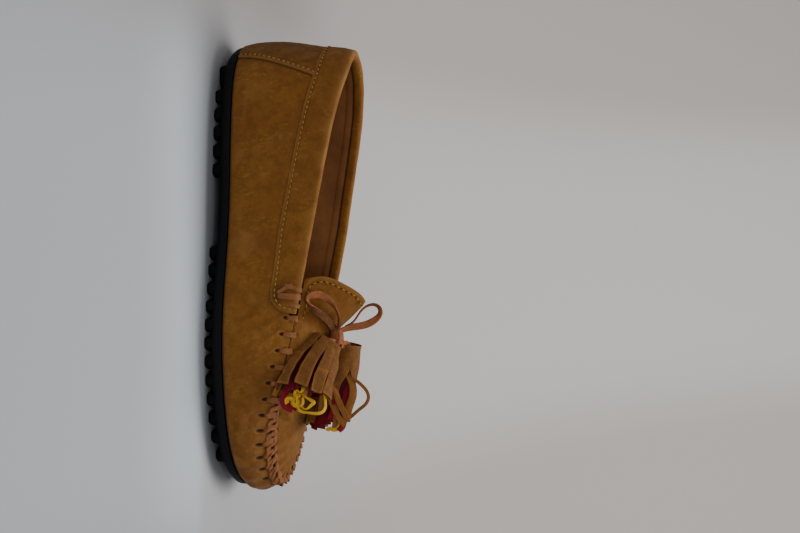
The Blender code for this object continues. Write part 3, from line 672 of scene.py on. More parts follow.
# Dark beads that stand in for the shade inside the needle holes.
def needle_hole_shade():
    b = Board("needle_hole_shade")
    colour = b.mix(b.noise(0.8), HOLE_DARK, HOLE_PALE)
    return b.finish(colour, 0.95)


FLOOR_COOL = (0.535, 0.545, 0.575)
FLOOR_WARM = (0.625, 0.593, 0.572)
# painted light: a paler bluish tint on the floor just in front of the sole, where its shadow falls
FLOOR_PAINTED_BLUE_LIGHT = (0.74, 0.84, 0.92)
FLOOR_SHADE = (0.29, 0.25, 0.225)
# painted shadow: the dark floor under the sole
FLOOR_PAINTED_SHADOW = (0.1, 0.1, 0.105)

# Where the floor's tones lie, in millimetres: `ahead` is along the shoe, `back` away from the camera.
# Squares stand in for distances on both sides of a line.
AHEAD_MIDDLE = 15.0
WARM_BACK = (-120.0, 420.0)  # from cool to warm
BLUE_RISES, BLUE_FADES, BLUE_ENDS = (-150.0, -50.0), (-50.0, -30.0), (90.0**2, 150.0**2)
UNDER_MIDDLE, UNDER_HALVES, UNDER_EDGE = -13.0, (116, 37), (0.6, 1.3)  # a rounded square of painted shadow under the sole
ASIDE_SLANT, ASIDE = 0.115, (60.0**2, 30000.0)
BEHIND_AHEAD, BEHIND_BACK = (-200.0, -105.0), (60.0, 260.0)
BLUE_SHARE, UNDER_SHARE, ASIDE_SHARE, BEHIND_SHARE = 0.5, 0.55, 0.38, 0.36


def studio_floor():
    """The floor: a painted bluish light in front of the shoe, a painted shadow under it, warmer behind it and
    painted shade at the sides.
    """
    b = Board("studio_floor")
    ahead = b.node("ShaderNodeSeparateXYZ", None, {"Vector": b.place()}, output=0) - AHEAD_MIDDLE
    back = b.node("ShaderNodeSeparateXYZ", None, {"Vector": b.place()}, output=1)
    colour = b.mix(b.step(back, *WARM_BACK), FLOOR_COOL, FLOOR_WARM)
    # painted light: the bluish tint lightens the shadow in front of the shoe
    beside = b.step(back, *BLUE_RISES) * (1.0 - b.step(back, *BLUE_FADES))
    beside = beside * (1.0 - b.step(ahead * ahead, *BLUE_ENDS))
    colour = b.mix(beside * BLUE_SHARE, colour, FLOOR_PAINTED_BLUE_LIGHT)
    along = (ahead - UNDER_MIDDLE) * (1 / UNDER_HALVES[0])
    over = back * (1 / UNDER_HALVES[1])
    far = along * along * along * along + over * over * over * over
    # painted shadow under the sole
    colour = b.mix((1.0 - b.step(far, *UNDER_EDGE)) * UNDER_SHARE, colour, FLOOR_PAINTED_SHADOW)
    # painted shade: the floor darkens towards the sides and beyond the heel
    aside = ahead + back * ASIDE_SLANT
    aside = b.step(aside * aside, *ASIDE)
    behind = (1.0 - b.step(ahead, *BEHIND_AHEAD)) * (1.0 - b.step(back, *BEHIND_BACK))
    colour = b.mix(aside * ASIDE_SHARE + behind * BEHIND_SHARE, colour, FLOOR_SHADE)
    return b.finish(colour, 0.9)


NUBUCK = nubuck()
LINING = lining()
RUBBER = rubber()
THREAD_GOLD = thread()
NEEDLE_HOLE_SHADE = needle_hole_shade()
LACE_LEATHER = cut_leather("salmon_lace", (0.37, 0.122, 0.045), (0.14, 0.058, 0.022), (0.19, 0.06, 0.022))
WHIP_LEATHER = cut_leather("whip_lace", (0.3, 0.114, 0.038), (0.16, 0.06, 0.02), (0.18, 0.063, 0.02))
SUEDE = cut_leather("tassel_suede", (0.22, 0.084, 0.017), (0.09, 0.032, 0.011), (0.07, 0.02, 0.008))
CRIMSON = cut_leather("crimson_suede", (0.18, 0.0045, 0.012), (0.09, 0.003, 0.008), (0.25, 0.007, 0.014))
SUEDE_EDGE = cut_leather("tassel_suede_edge", (0.07, 0.024, 0.009), (0.07, 0.02, 0.008), (0.07, 0.02, 0.008))
# its finer darkening is painted shade of the strips' small kinks
YELLOW = cut_leather("yellow_suede", (0.62, 0.34, 0.02), (0.4, 0.2, 0.012), (0.74, 0.48, 0.06), clouds_and_kink_shade_scale=0.8)


# ---- Camera, light and floor ----

VIEW_RAISED = 17.0  # how far above the floor the camera looks from, in degrees
VIEW_TURNED = 6.3  # and how far it is turned towards the toe
VIEW_ROLL = 1.48  # over the quarter turn that stands the shoe on its toe in the frame
DISTANCE = 1.0
FRAME_SIZE = (800, 533)
FOCUS = 1834.0  # the lens, in widths of one eight-hundredth of the frame
AIMED_AT = (122.5, 0.0, 25.0)  # a point in the shoe
AIMED_OFF = (-128.1, 3.1)  # where it lies from the frame's middle, in the same units as the lens


def studio_camera():
    """A camera that holds the shoe on its toe in the frame, with the lens aimed off its middle."""
    raised, turned, roll = np.radians([VIEW_RAISED, VIEW_TURNED, VIEW_ROLL])
    back = np.array([np.sin(turned) * np.cos(raised), -np.cos(turned) * np.cos(raised), np.sin(raised)])
    right = np.array([np.cos(turned), np.sin(turned), 0])
    up = np.cross(back, right)
    across = right * np.sin(roll) + up * np.cos(roll)
    over = up * np.sin(roll) - right * np.cos(roll)
    held = Matrix(np.column_stack([across, over, back]).tolist())
    aim = Vector((*AIMED_OFF, -FOCUS)).rotation_difference(Vector((0, 0, -1)))
    camera = bpy.data.cameras.new("camera")
    camera.sensor_width = 36.0
    camera.lens = FOCUS / FRAME_SIZE[0] * camera.sensor_width
    camera.clip_start = 0.05
    camera.clip_end = 30
    made = show("camera", camera)
    turned_to = held @ aim.to_matrix()
    made.matrix_world = Matrix.Translation(Vector(place(AIMED_AT) + back * DISTANCE)) @ turned_to.to_4x4()
    bpy.context.scene.camera = made


# Where each soft light stands and what it points at, in metres, with its size, power and colour
LIGHT_NAMES = "name at towards size power colour".split()
LIGHTS = [
    ("overhead", (0.15, 0.5, 1.35), (0, 0, 0), 1.1, 16.2, (1.0, 0.98, 0.95)),
    ("front", (0.4, -1.7, 0.95), (0, 0, 0.02), 1.2, 8.9, (1.0, 0.985, 0.97)),
    ("window", (-1.5, -0.9, 0.6), (0, 0, 0.02), 1.0, 2.2, (0.92, 0.96, 1.0)),
]


WORLD_COLOUR, WORLD_STRENGTH = (0.87, 0.93, 1.0), 0.25


def studio_light():
    for light in named(LIGHT_NAMES, LIGHTS):
        data = bpy.data.lights.new(light["name"], "AREA")
        data.shape = "DISK"
        data.size = light["size"]
        data.energy = light["power"]
        data.color = light["colour"]
        made = show(light["name"], data)
        made.location = light["at"]
        aim = Vector(light["towards"]) - Vector(light["at"])
        made.rotation_euler = aim.to_track_quat("-Z", "Y").to_euler()
    world = bpy.data.worlds.new("studio")
    world.use_nodes = True
    surround = world.node_tree.nodes["Background"]
    surround.inputs["Color"].default_value = (*WORLD_COLOUR, 1)
    surround.inputs["Strength"].default_value = WORLD_STRENGTH
    bpy.context.scene.world = world


# The floor and the wall it curves up into, in metres
SWEEP_FRONT, SWEEP_FROM, SWEEP_RADIUS, SWEEP_HEIGHT, SWEEP_HALF_WIDTH = -2.0, 0.25, 1.2, 3.5, 3.0


def studio_sweep():
    """A pale floor that curves up into the background."""
    profile = [(SWEEP_FRONT, 0.0), (SWEEP_FROM, 0.0)]
    for angle in np.linspace(0.05, np.pi / 2, 24):
        profile.append((SWEEP_FROM + SWEEP_RADIUS * np.sin(angle), SWEEP_RADIUS * (1 - np.cos(angle))))
    profile.append((SWEEP_FROM + SWEEP_RADIUS, SWEEP_HEIGHT))
    mesh = bpy.data.meshes.new("floor")
    points = [(side * SWEEP_HALF_WIDTH, y, z) for y, z in profile for side in (-1, 1)]
    faces = [(k, k + 1, k + 3, k + 2) for k in range(0, len(points) - 2, 2)]
    mesh.from_pydata(points, [], faces)
    mesh.materials.append(studio_floor())
    mesh.shade_smooth()
    show("floor", mesh)


studio_camera()
studio_light()
studio_sweep()


# ---- The bow: free lengths of flat lace ----

KNOT = np.array([163.6, -5.0, 63.0])
NEAR_LOOP = [(159.7, -6.5, 64.2), (154.0, -11.8, 66.2), (148.6, -17.4, 65.3), (143.8, -22.8, 61.6)]
NEAR_LOOP += [(142.4, -26.8, 56.9), (144.4, -28.4, 53.4), (148.8, -26.2, 55.0), (152.8, -20.8, 58.8)]
NEAR_LOOP += [(156.2, -14.8, 61.4), (159.7, -9.0, 61.7)]
FAR_LOOP = [(159.8, -2.6, 64.7), (158.0, 0.6, 70.0), (156.8, 3.2, 75.8), (154.2, 5.8, 80.8)]
FAR_LOOP += [(150.4, 8.4, 83.4), (146.8, 10.6, 82.2), (145.1, 12.0, 78.4), (146.4, 12.2, 74.2)]
FAR_LOOP += [(150.6, 10.0, 71.0), (154.8, 6.0, 69.0), (157.0, 2.2, 66.6)]
NEAR_END = [(166.8, -7.9, 62.4), (166.7, -8.9, 62.2), (166.5, -9.8, 62.0)]
FAR_END = [(167.4, -2.7, 64.8), (167.4, -1.2, 65.6), (167.1, 0.9, 66.3)]
FRONT = np.array([0.1, -0.95, 0.3])  # the way that faces the front


def free_lace(name, route, turns, pinch=0.0):
    """A free length of the lace; turns are its twists at even places along it, in half turns."""
    path = smooth_path(route, 48)
    share = np.linspace(0, 1, len(path))
    twist = spline(share, np.linspace(0, 1, len(turns)), turns)
    width = LACE_WIDTH * (1 - pinch * np.exp(-((np.minimum(share, 1 - share) / 0.1) ** 2)))
    piece = Piece(name + "_lace")
    strip(piece, path, FRONT, width, LACE, twist)
    made = settle(piece.make(LACE_LEATHER), "salmon_lace", name)


free_lace("bow_loop_near", NEAR_LOOP, (0.44, 0.45, 0.36, 0.05, 0.35, 0.86, 1.0, 1.05), pinch=0.3)
free_lace("bow_loop_far", FAR_LOOP, (-0.06, 0.0, 0.08, 0.3, 0.42, 0.46, 0.47, 0.48), pinch=0.3)


# ---- The tassels: a rolled sheet of suede cut into strips, with crimson and yellow strips inside ----

# A tassel fans out from its head to its open end, where it is an oval: the middles of both ends, how far the
# line between them bows, the oval's longer and shorter halves at both ends, and the way the longer one points
TASSELS = {
    "tassel_near": {
        "head": (166.2, -13.0, 59.7),
        "end": (195.8, -27.2, 50.4),
        "bow": (0.0, -1.0, -6.5),
        "long": (7.3, 13.6),
        "short": (5.4, 6.6),
        "ways": ((-0.5, -0.46, -0.73), (-0.19, -0.52, -0.83)),
    },
    "tassel_far": {
        "head": (166.4, 6.4, 66.2),
        "end": (210.8, 11.6, 51.8),
        "bow": (0.0, 0.0, 0.0),
        "long": (6.4, 9.8),
        "short": (6.2, 8.4),
        "ways": ((-0.12, -0.3, -0.95), (0.1, -0.3, -0.95)),
    },
}
GROWTH = [(0.0, 0.0), (0.05, 0.06), (0.3, 0.62), (0.64, 0.93), (1.0, 1.0), (1.3, 1.0)]

# A tassel's outer strips: where each begins and ends round it, in degrees from the low side, where the slit
# before it starts and where it ends on both sides, as shares of the length, and how far its end stands out
CUT_NAMES = "first last slit reach reach_after lift".split()
CUTS = {
    "tassel_near": [
        (-177, -127, 0.55, 0.97, 0.93, 0.3),
        (-125, -95, 0.5, 0.97, 0.96, 0.5),
        (-89, -57, 0.16, 0.93, 0.87, 0.7),
        (-47, -12, 0.13, 0.93, 0.9, 0.8),
        (-4, 34, 0.3, 0.97, 0.94, 0.0),
        (36, 80, 0.3, 0.9, 0.9, 0.0),
        (82, 128, 0.3, 0.9, 0.9, 0.0),
        (130, 176, 0.3, 0.9, 0.9, 0.0),
    ],
    "tassel_far": [
        (-204, -140, 0.4, 0.8, 0.84, 0.2),
        (-98, -76, 0.26, 0.62, 0.7, 0.2),
        (-74, -50, 0.4, 0.78, 0.8, 0.4),
        (-48, -14, 0.4, 0.92, 0.9, 0.4),
        (-12, 28, 0.34, 0.96, 0.96, 0.2),
        (30, 74, 0.34, 0.98, 0.98, 0.0),
        (76, 112, 0.34, 0.94, 0.94, 0.0),
        (114, 152, 0.34, 0.9, 0.9, 0.2),
    ],
}


def tassel_point(name, share, angle, inset=0.0):
    """A point on the tassel's rolled sheet: share along it from the head, angle round it in radians."""
    form = TASSELS[name]
    head, end, bow = (np.array(form[key]) for key in ("head", "end", "bow"))
    share, angle, inset = np.broadcast_arrays(share, angle, inset)
    grown = spline(share, *zip(*GROWTH))
    middle = head + (end - head) * share[..., None] + bow * (share * (1 - share))[..., None]
    axis = unit(end - head + bow * (1 - 2 * share)[..., None])
    first, last = (np.array(way) for way in form["ways"])
    long_way = first + (last - first) * grown[..., None]
    across = unit(np.cross(axis, long_way))
    halves = (form["long"], form["short"])
    half_long, half_short = (at_head + (at_end - at_head) * grown - inset for at_head, at_end in halves)
    round_long = (np.cos(angle) * half_long)[..., None] * unit(long_way)
    return middle + round_long + (np.sin(angle) * half_short)[..., None] * across


def tassel_sheet(name):
    """The outer sheet: strips that part at their slits, one beside the next round the head."""
    piece = Piece(name + "_sheet")
    rows = named(CUT_NAMES, CUTS[name])
    for k, cut in enumerate(rows):
        before, after = rows[k - 1]["last"], rows[(k + 1) % len(rows)]["first"]
        low = (cut["first"] + (before if k else before - 360)) / 2
        high = (cut["last"] + (after if k + 1 < len(rows) else after + 360)) / 2
        slit_after = rows[(k + 1) % len(rows)]["slit"]
        across = np.linspace(0, 1, 13)[None]
        reach = cut["reach"] + (cut["reach_after"] - cut["reach"]) * across
        head = np.linspace(0, 0.12, 6)[:, None] + 0 * across
        share = np.concatenate([head, np.linspace(0.14, reach[0], 34)])
        opening = [smooth(share, at, at + 0.22) for at in (cut["slit"], slit_after)]
        first = low + (cut["first"] - low) * opening[0]
        last = high + (cut["last"] - high) * opening[1]
        angle = np.radians(first + (last - first) * across)
        loose = smooth(share, cut["slit"], 1.0)
        flat = 0.7 * loose * (1 - (2 * across - 1) ** 2)
        wave = 0.4 * np.sin(across * 3.1 + share * 9 + k) * loose
        points = tassel_point(name, share, angle, flat - cut["lift"] * 2 * loose - wave)
        crumpled = 0.2 * unevenness(points, 5.0, 3) + 0.3 * unevenness(points * (0.5, 1, 1), 9.0, 4)
        inward = unit(points - tassel_point(name, share, angle, 1.0))
        points = points + crumpled[..., None] * inward
        side = np.minimum(opening[0] * across, opening[1] * (1 - across)) + (1 - np.maximum(*opening))
        rubbed = 0.9 * bell(side, 0.0, 0.11) * np.where(np.minimum(*opening) > 0.05, 1, 0)
        rubbed = rubbed + 0.5 * smooth(share, reach - 0.06, reach) + 0.4 * smooth(0.03 - share, 0, 0.03)
        piece.grid(points, rubbed=np.clip(rubbed, 0, 1))
    made = piece.make(SUEDE, SUEDE_EDGE, closed=False, sharp=1.2)
    thicken(made, 1.15)
    return made


def thicken(made, thick):
    """Gives an open sheet its thickness, towards its inside."""
    solid = made.modifiers.new("Thickness", "SOLIDIFY")
    solid.thickness = thick * MM
    solid.offset = -1
    solid.use_even_offset = False
    solid.material_offset_rim = 1
    soft = made.modifiers.new("Soft edge", "BEVEL")
    soft.width = 0.18 * MM
    soft.segments = 2
    soft.limit_method = "ANGLE"
    soft.angle_limit = 0.9


def tassel_roll(name):
    """The leather wound inside the head, which shows at its open end."""
    piece = Piece(name + "_roll")
    angle = np.linspace(0, 5.2 * np.pi, 90)[:, None]
    share = np.array([0.012, 0.02, 0.1, 0.2])[None]
    inset = 1.5 + angle / (2 * np.pi) * 1.55 + 0 * share
    points = tassel_point(name, share + 0 * angle, angle, inset)
    piece.grid(points)
    made = piece.make(CRIMSON, CRIMSON, closed=False, sharp=1.2)
    thicken(made, 0.95)
    return made


def inner_strips(name, finish, chance_seed, table):
    """Strips inside the tassel: each begins and ends round it, in degrees, with its inset, reach and curl."""
    piece = Piece(name)
    chance = np.random.default_rng(chance_seed)
    tassel = name[: name.index("_", 8)]
    for first, last, inset, reach, curl in table:
        share = np.linspace(0.2, reach, 26)
        loose = smooth(share, 0.55, reach)
        middle = np.radians((first + last) / 2) + 0.12 * np.sin(share * 12 + chance.uniform(0, 6)) * loose
        path = tassel_point(tassel, share, middle, inset - curl * loose)
        outwards = unit(path - tassel_point(tassel, share, middle, inset + 3))
        wide = np.clip(np.radians(last - first) * 8, 2.6, 5.0)
        # painted shade: darker deeper inside the tassel
        dark = 0.6 * (1 - smooth(share, 0.7, 0.97))[:, None]
        strip(piece, path, outwards, wide, 1.0, chance.uniform(-0.24, 0.24) * loose, dark=dark)
    return piece.make(finish)


CRIMSON_STRIPS = {
    "tassel_near": [
        (-150, -120, 2.8, 0.93, 0.0),
        (-116, -92, 2.4, 0.95, 0.0),
        (-96, -76, 1.8, 0.88, 0.2),
        (-74, -48, 1.7, 0.96, 0.2),
        (-56, -30, 1.9, 0.98, 0.2),
        (-34, -6, 2.0, 0.96, 0.0),
        (60, 100, 2.6, 0.96, 0.0),
        (120, 160, 2.4, 0.94, 0.0),
    ],
    "tassel_far": [
        (-200, -160, 2.4, 1.0, 0.0),
        (-160, -130, 1.5, 0.9, 0.0),
        (-132, -100, 1.3, 0.88, 0.0),
        (-104, -74, 1.6, 0.94, 1.4),
        (-82, -52, 2.0, 0.99, 0.8),
        (-50, -20, 2.2, 1.0, 0.5),
        (-10, 25, 2.4, 0.98, 0.2),
        (60, 100, 2.4, 1.0, 0.0),
        (110, 150, 2.4, 0.98, 0.0),
    ],
}

# Single strips and ribbons that stand out of the open ends or have left their places: each with its finish's
# name, its width, its twist in half turns from facing the front, and its points
ROW_NAMES = "finish width twist points".split()
LOOSE = {
    "tassel_near": [
        ("yellow", 2.1, (0.2, 0.3, 0.2, 0.34, 0.1), [
            (192, -20.5, 60.4), (197.8, -21.4, 61.2), (202.0, -23.0, 61.5), (204.1, -24.6, 60.2),
            (204.7, -26.0, 57.2), (204.3, -27.0, 53.4), (203.8, -27.4, 50.2), (202.2, -27.6, 48.2),
            (200.0, -27.4, 47.6)
        ]),
        ("yellow", 2.4, (0.4, 0.4, 0.2, 0.4, 0.36), [
            (193.6, -26.4, 49.6), (195.4, -28.0, 51.8), (197.4, -28.6, 54.8), (198.7, -28.8, 56.8),
            (199.1, -28.8, 57.1), (199.5, -28.7, 56.8), (200.8, -28.4, 55.2), (202.5, -27.8, 52.7),
            (201.6, -27.2, 50.4), (200.4, -26.8, 48.6)
        ]),
        ("yellow", 2.7, (0.2, 0.4, 0.24, 0.4, 0.1, 0.36), [
            (190.4, -27.4, 50.2), (192.4, -29.0, 51.0), (193.8, -29.6, 49.6), (192.8, -29.8, 48.0),
            (194.8, -30.2, 47.6), (195.5, -30.0, 50.0), (196.6, -29.8, 48.2), (198.4, -29.4, 48.6),
            (200.4, -29.0, 47.6), (199.4, -29.2, 45.8), (197.0, -29.4, 46.4)
        ]),
        ("yellow", 2.6, (0.1, 0.36, 0.2, 0.1), [
            (194.4, -27.0, 49.6), (196.0, -29.0, 47.8), (197.2, -30.0, 45.6), (196.9, -30.4, 44.0),
            (198.2, -30.6, 42.8), (199.4, -30.4, 43.4)
        ]),
        ("yellow", 2.2, 0.3, [
            (194.0, -25.0, 51.0), (197.0, -26.8, 50.6), (199.6, -27.8, 50.8), (201.2, -27.6, 49.4)
        ]),
        ("crimson", 3.4, 0.12, [
            (184.0, -26.5, 47.0), (189.4, -29.4, 45.4), (193.0, -31.0, 43.0), (196.4, -31.8, 41.4),
            (199.4, -31.4, 41.4), (201.6, -30.4, 43.0), (203.0, -29.2, 45.6)
        ]),
        ("crimson", 2.6, 0.22, [
            (196.0, -28.6, 43.8), (199.0, -28.8, 43.8), (201.2, -28.0, 45.4), (202.4, -27.2, 47.6)
        ]),
        ("brown", 3.6, 0.14, [
            (200.8, -29.6, 42.0), (203.2, -30.0, 43.6), (205.4, -30.0, 44.8), (207.0, -29.8, 44.0),
            (206.8, -29.8, 42.2), (205.0, -30.2, 40.8)
        ]),
        ("brown", 2.2, 0.1, [
            (179.0, -22.6, 50.4), (181.6, -24.6, 48.8), (185.0, -27.0, 46.4), (189.2, -29.4, 43.8),
            (192.6, -30.8, 42.2)
        ]),
        ("brown", 3.4, 0.08, [
            (184.0, -19.0, 60.6), (192.0, -20.2, 60.2), (198.0, -21.6, 59.7), (203.4, -22.6, 59.2)
        ]),
        ("brown", 3.0, 0.14, [
            (176.0, -19.0, 46.4), (184.0, -26.6, 42.2), (191.0, -31.8, 38.6), (195.6, -33.6, 37.0)
        ]),
    ],
    "tassel_far": [
        ("brown", 4.3, (0.2, 0.14, 0.06, 0.0), [
            (178.6, 5.4, 66.4), (183.8, 4.8, 67.3), (187.5, 4.6, 68.8), (191.2, 4.4, 69.6),
            (194.3, 4.4, 69.5), (197.3, 4.6, 68.6), (201.0, 4.8, 67.2), (205.4, 5.0, 66.2),
            (208.4, 5.2, 65.6)
        ]),
        ("brown", 1.8, 0.04, [
            (181.2, 4.4, 68.0), (184.6, 4.8, 68.6), (186.6, 5.4, 71.2), (189.2, 6.2, 74.2),
            (192.4, 7.2, 76.6), (195.8, 7.8, 77.2), (198.8, 8.0, 75.8), (201.4, 8.4, 72.6),
            (203.8, 8.8, 69.6), (206.4, 9.2, 66.4)
        ]),
        ("brown", 3.3, (0.5, 0.32, 0.1, 0.0, -0.06), [
            (180.6, 1.6, 58.6), (186.0, 0.2, 58.4), (191.4, -0.6, 60.6), (196.4, 0.0, 62.3),
            (201.3, 1.0, 64.3), (205.6, 2.2, 66.2), (208.6, 3.2, 66.6)
        ]),
        ("brown", 3.2, (0.3, 0.1, 0.0), [
            (188.6, 0.0, 56.4), (193.0, -0.6, 57.0), (197.1, 0.0, 58.4), (201.4, 0.4, 60.1),
            (205.8, 1.0, 62.2), (208.8, 1.8, 64.4), (210.2, 2.6, 65.8)
        ]),
        ("crimson", 4.4, 0.0, [
            (178.0, 5.6, 63.6), (184.0, 5.6, 65.2), (190.5, 5.4, 65.8), (196.0, 5.4, 65.4),
            (201.0, 5.2, 63.6)
        ]),
        ("crimson", 3.4, 0.1, [
            (194.0, 1.6, 58.4), (199.0, 0.8, 60.2), (203.6, 1.6, 59.0), (207.4, 2.4, 57.0)
        ]),
        ("crimson", 3.6, 0.2, [
            (202.0, 5.6, 64.6), (207.0, 5.0, 64.4), (211.4, 4.8, 63.6), (213.2, 5.0, 61.4)
        ]),
        ("brown", 3.4, 0.1, [
            (200.0, 3.2, 60.8), (205.0, 3.4, 60.6), (211.6, 4.0, 59.6)
        ]),
        ("yellow", 2.6, 0.2, [
            (206.0, 5.4, 62.0), (211.4, 4.6, 61.6), (212.8, 4.6, 59.6), (212.2, 4.8, 57.2),
            (213.0, 5.8, 54.6)
        ]),
        ("brown", 3.4, 0.1, [
            (196.0, 4.6, 52.0), (202.0, 4.8, 49.6), (208.6, 5.4, 46.4)
        ]),
        ("brown", 3.0, 0.2, [
            (198.0, 5.6, 48.0), (203.0, 6.0, 45.4), (209.6, 6.6, 43.6)
        ]),
    ],
}
LOOSE_FINISHES = {"brown": SUEDE, "crimson": CRIMSON, "yellow": YELLOW}


def loose_strips(name, finish):
    """The loose strips of one colour, as one piece, or nothing."""
    piece = Piece(name + "_" + finish + "_loose")
    count = 50
    for each in named(ROW_NAMES, LOOSE[name]):
        if each["finish"] == finish:
            path = smooth_path(each["points"], count)
            turns = np.atleast_1d(each["twist"])
            twist = np.interp(np.linspace(0, 1, count), np.linspace(0, 1, len(turns)), turns)
            thick = 0.55 if finish == "yellow" else 0.9
            strip(piece, path, FRONT, each["width"], thick, twist, rubbed=0.5)
    return piece.make(LOOSE_FINISHES[finish])


def make_tassel(name):
    """Every part of one tassel."""
    parts = [tassel_sheet(name), tassel_roll(name)]
    parts.append(inner_strips(name + "_crimson", CRIMSON, 4, CRIMSON_STRIPS[name]))
    parts += [loose_strips(name, finish) for finish in LOOSE_FINISHES]
    for part in parts:
        settle(part, "tassel_suede", name)
    return parts


for side, start in (("near", NEAR_END), ("far", FAR_END)):
    tassel = "tassel_" + side
    parts = make_tassel(tassel)
    head, end = (np.array(TASSELS[tassel][k]) for k in ("head", "end"))
    route = [*start, *(tuple(head + (end - head) * share) for share in (0.06, 0.25, 0.5, 0.78, 1.0))]
    free_lace("lace_end_" + side, route, (0.0, 0.0, 0.1, 0.2))


# ---- The vamp and quarters ----


def seam_turns():
    """The middles of the whip stitches, evenly spaced along the seam."""
    first = turn_at(STITCHED_FROM)
    fine = np.linspace(first, 2 * np.pi - first, 400)
    line = top_line(fine)
    along = np.linalg.norm(np.diff(line, axis=0), axis=1)
    closer = 1 + TOE_CLOSER * np.clip((line[:, 0] - TOE_FROM) / (TOE_TO - TOE_FROM), 0, 1)
    stitches = np.concatenate([[0], np.cumsum(along * (closer[1:] + closer[:-1]) / 2)])
    count = int(stitches[-1] / STITCH_PITCH)
    return np.interp((np.arange(count) + 0.5) / count * stitches[-1], stitches, fine)


STITCH_TURNS = seam_turns()
STITCH_X = top_line(STITCH_TURNS)[:, 0]
STITCH_DOWN = np.interp(STITCH_X, STITCH_DEPTH_AT, STITCH_DEPTH)

# The creases that walking left in the vamp, and the dents of a soft shoe: both ends along the shoe and in
# height, how wide and how deep each is, on the outer side (-1), the inner side (1) or both (0)
CREASE_NAMES = "x0 z0 x1 z1 wide deep side".split()
CREASES = [
    (150, 44, 160, 24, 3.6, 0.9, 0),
    (158, 40, 170, 20, 3.0, 0.55, 0),
    (166, 38, 178, 24, 2.6, 0.4, -1),
    (146, 30, 156, 16, 4.0, 0.6, -1),
    (176, 34, 186, 18, 3.0, 0.35, 0),
    (152, 36, 153, 28, 6.0, 0.9, 0),
    (202, 30, 212, 16, 3.4, 0.45, -1),
    (212, 28, 216, 16, 2.6, 0.3, 0),
    (96, 40, 118, 26, 9.0, 0.6, 0),
    (60, 44, 84, 28, 8.0, 0.45, -1),
    (124, 36, 140, 18, 5.0, 0.5, 0),
]


def creased(points):
    """How far the creases sink a point of the wall."""
    total = np.zeros(points.shape[:-1])
    x, y, z = points[..., 0], points[..., 1], points[..., 2]
    for c in named(CREASE_NAMES, CREASES):
        way = np.array([c["x1"] - c["x0"], c["z1"] - c["z0"]], float)
        reach = np.linalg.norm(way)
        way = way / reach
        along = (x - c["x0"]) * way[0] + (z - c["z0"]) * way[1]
        bent = 1.6 * np.sin(along / reach * np.pi)
        across = (x - c["x0"]) * way[1] - (z - c["z0"]) * way[0] + bent
        ends = smooth(along, -0.35 * reach, 0.2 * reach) * (1 - smooth(along, 0.8 * reach, 1.35 * reach))
        shape = bell(across, 0, c["wide"] / 2) - 0.5 * (bell(across, c["wide"], c["wide"] / 2))
        shape = shape - 0.5 * bell(across, -c["wide"], c["wide"] / 2)
        here = 1.0 if c["side"] == 0 else (np.sign(y) == c["side"])
        total += c["deep"] * shape * ends * here
    return total


def past_stitches(turn):
    """How far along the seam each place lies from each whip stitch."""
    return np.interp(turn, SEAM_TURNS, SEAM_WAY)[..., None] - np.interp(STITCH_TURNS, SEAM_TURNS, SEAM_WAY)


def plain_beyond(marks, columns):
    """Marks of a piece whose further columns of points have none."""
    return np.concatenate([marks, np.zeros((len(marks), columns))], 1)


def vamp_relief(turn, down, points):
    """How far the wall's outside stands out, with marks of its painted shade and how rubbed it is."""
    x = points[..., 0]
    along = past_stitches(turn)
    under = down[..., None] - STITCH_DOWN
    oval = np.hypot(along / 0.85, (under - 0.25) / 1.25)
    hole = np.exp(-(oval**4)).sum(-1)
    rim = np.exp(-(((oval - 1.75) / 0.45) ** 2)).sum(-1)
    pulled = np.exp(-((along / 2.1) ** 2)).sum(-1)
    toe = smooth(x, 185, 226)
    sewn = smooth(x, STITCHED_FROM - 2, STITCHED_FROM + 4)
    ridge = (0.35 + 0.45 * toe) * (0.55 - pulled) * (1 - smooth(down, 4.2, 8.5)) * sewn
    pucker = -(0.1 + 0.62 * toe) * (pulled - 0.42) * smooth(down, 4, 7)
    pucker = pucker * (1 - smooth(down, 8 + 3 * toe, 13 + 8 * toe))
    soft = 0.26 * unevenness(points, 26.0, 1) + 0.1 * unevenness(points, 8.0, 2)
    settled = smooth(down, 0.2, 2.5) * smooth(points[..., 2], 9.5, 16)
    out = ridge + sewn * pucker + (soft - creased(points)) * settled - 1.0 * hole + 0.14 * rim * sewn
    # painted shade: dark in the whip stitches' holes, and darker towards the toe
    dark = np.clip(1.25 * hole + 0.22 * smooth(x, 160, 205), 0, 1)
    rubbed = 0.5 * np.clip(rim, 0, 1) * sewn + 0.3 * smooth(ridge, 0.05, 0.3)
    rubbed = rubbed + 0.35 * bell(points[..., 2], 20, 9) * smooth(unevenness(points, 18.0, 5), 0.1, 1.0)
    rubbed = rubbed + 0.5 * toe * smooth(unevenness(points, 9.0, 6), 0.2, 1.1) * smooth(down, 5, 12)
    return out, dark, np.clip(rubbed, 0, 1)


def closer_in_front(count):
    """Places round the shoe that lie three times as close together in front, where the stitches are."""
    crowd = 1 + 2 * smooth(top_line(SEAM_TURNS)[:, 0], 128, 146)
    way = np.concatenate([[0], np.cumsum(np.diff(SEAM_WAY) * (crowd[1:] + crowd[:-1]) / 2)])
    return np.interp(np.arange(count) / count * way[-1], way, SEAM_TURNS)


VAMP_TURNS, VAMP_ROWS, INSIDE_ROWS = 920, 37, 20


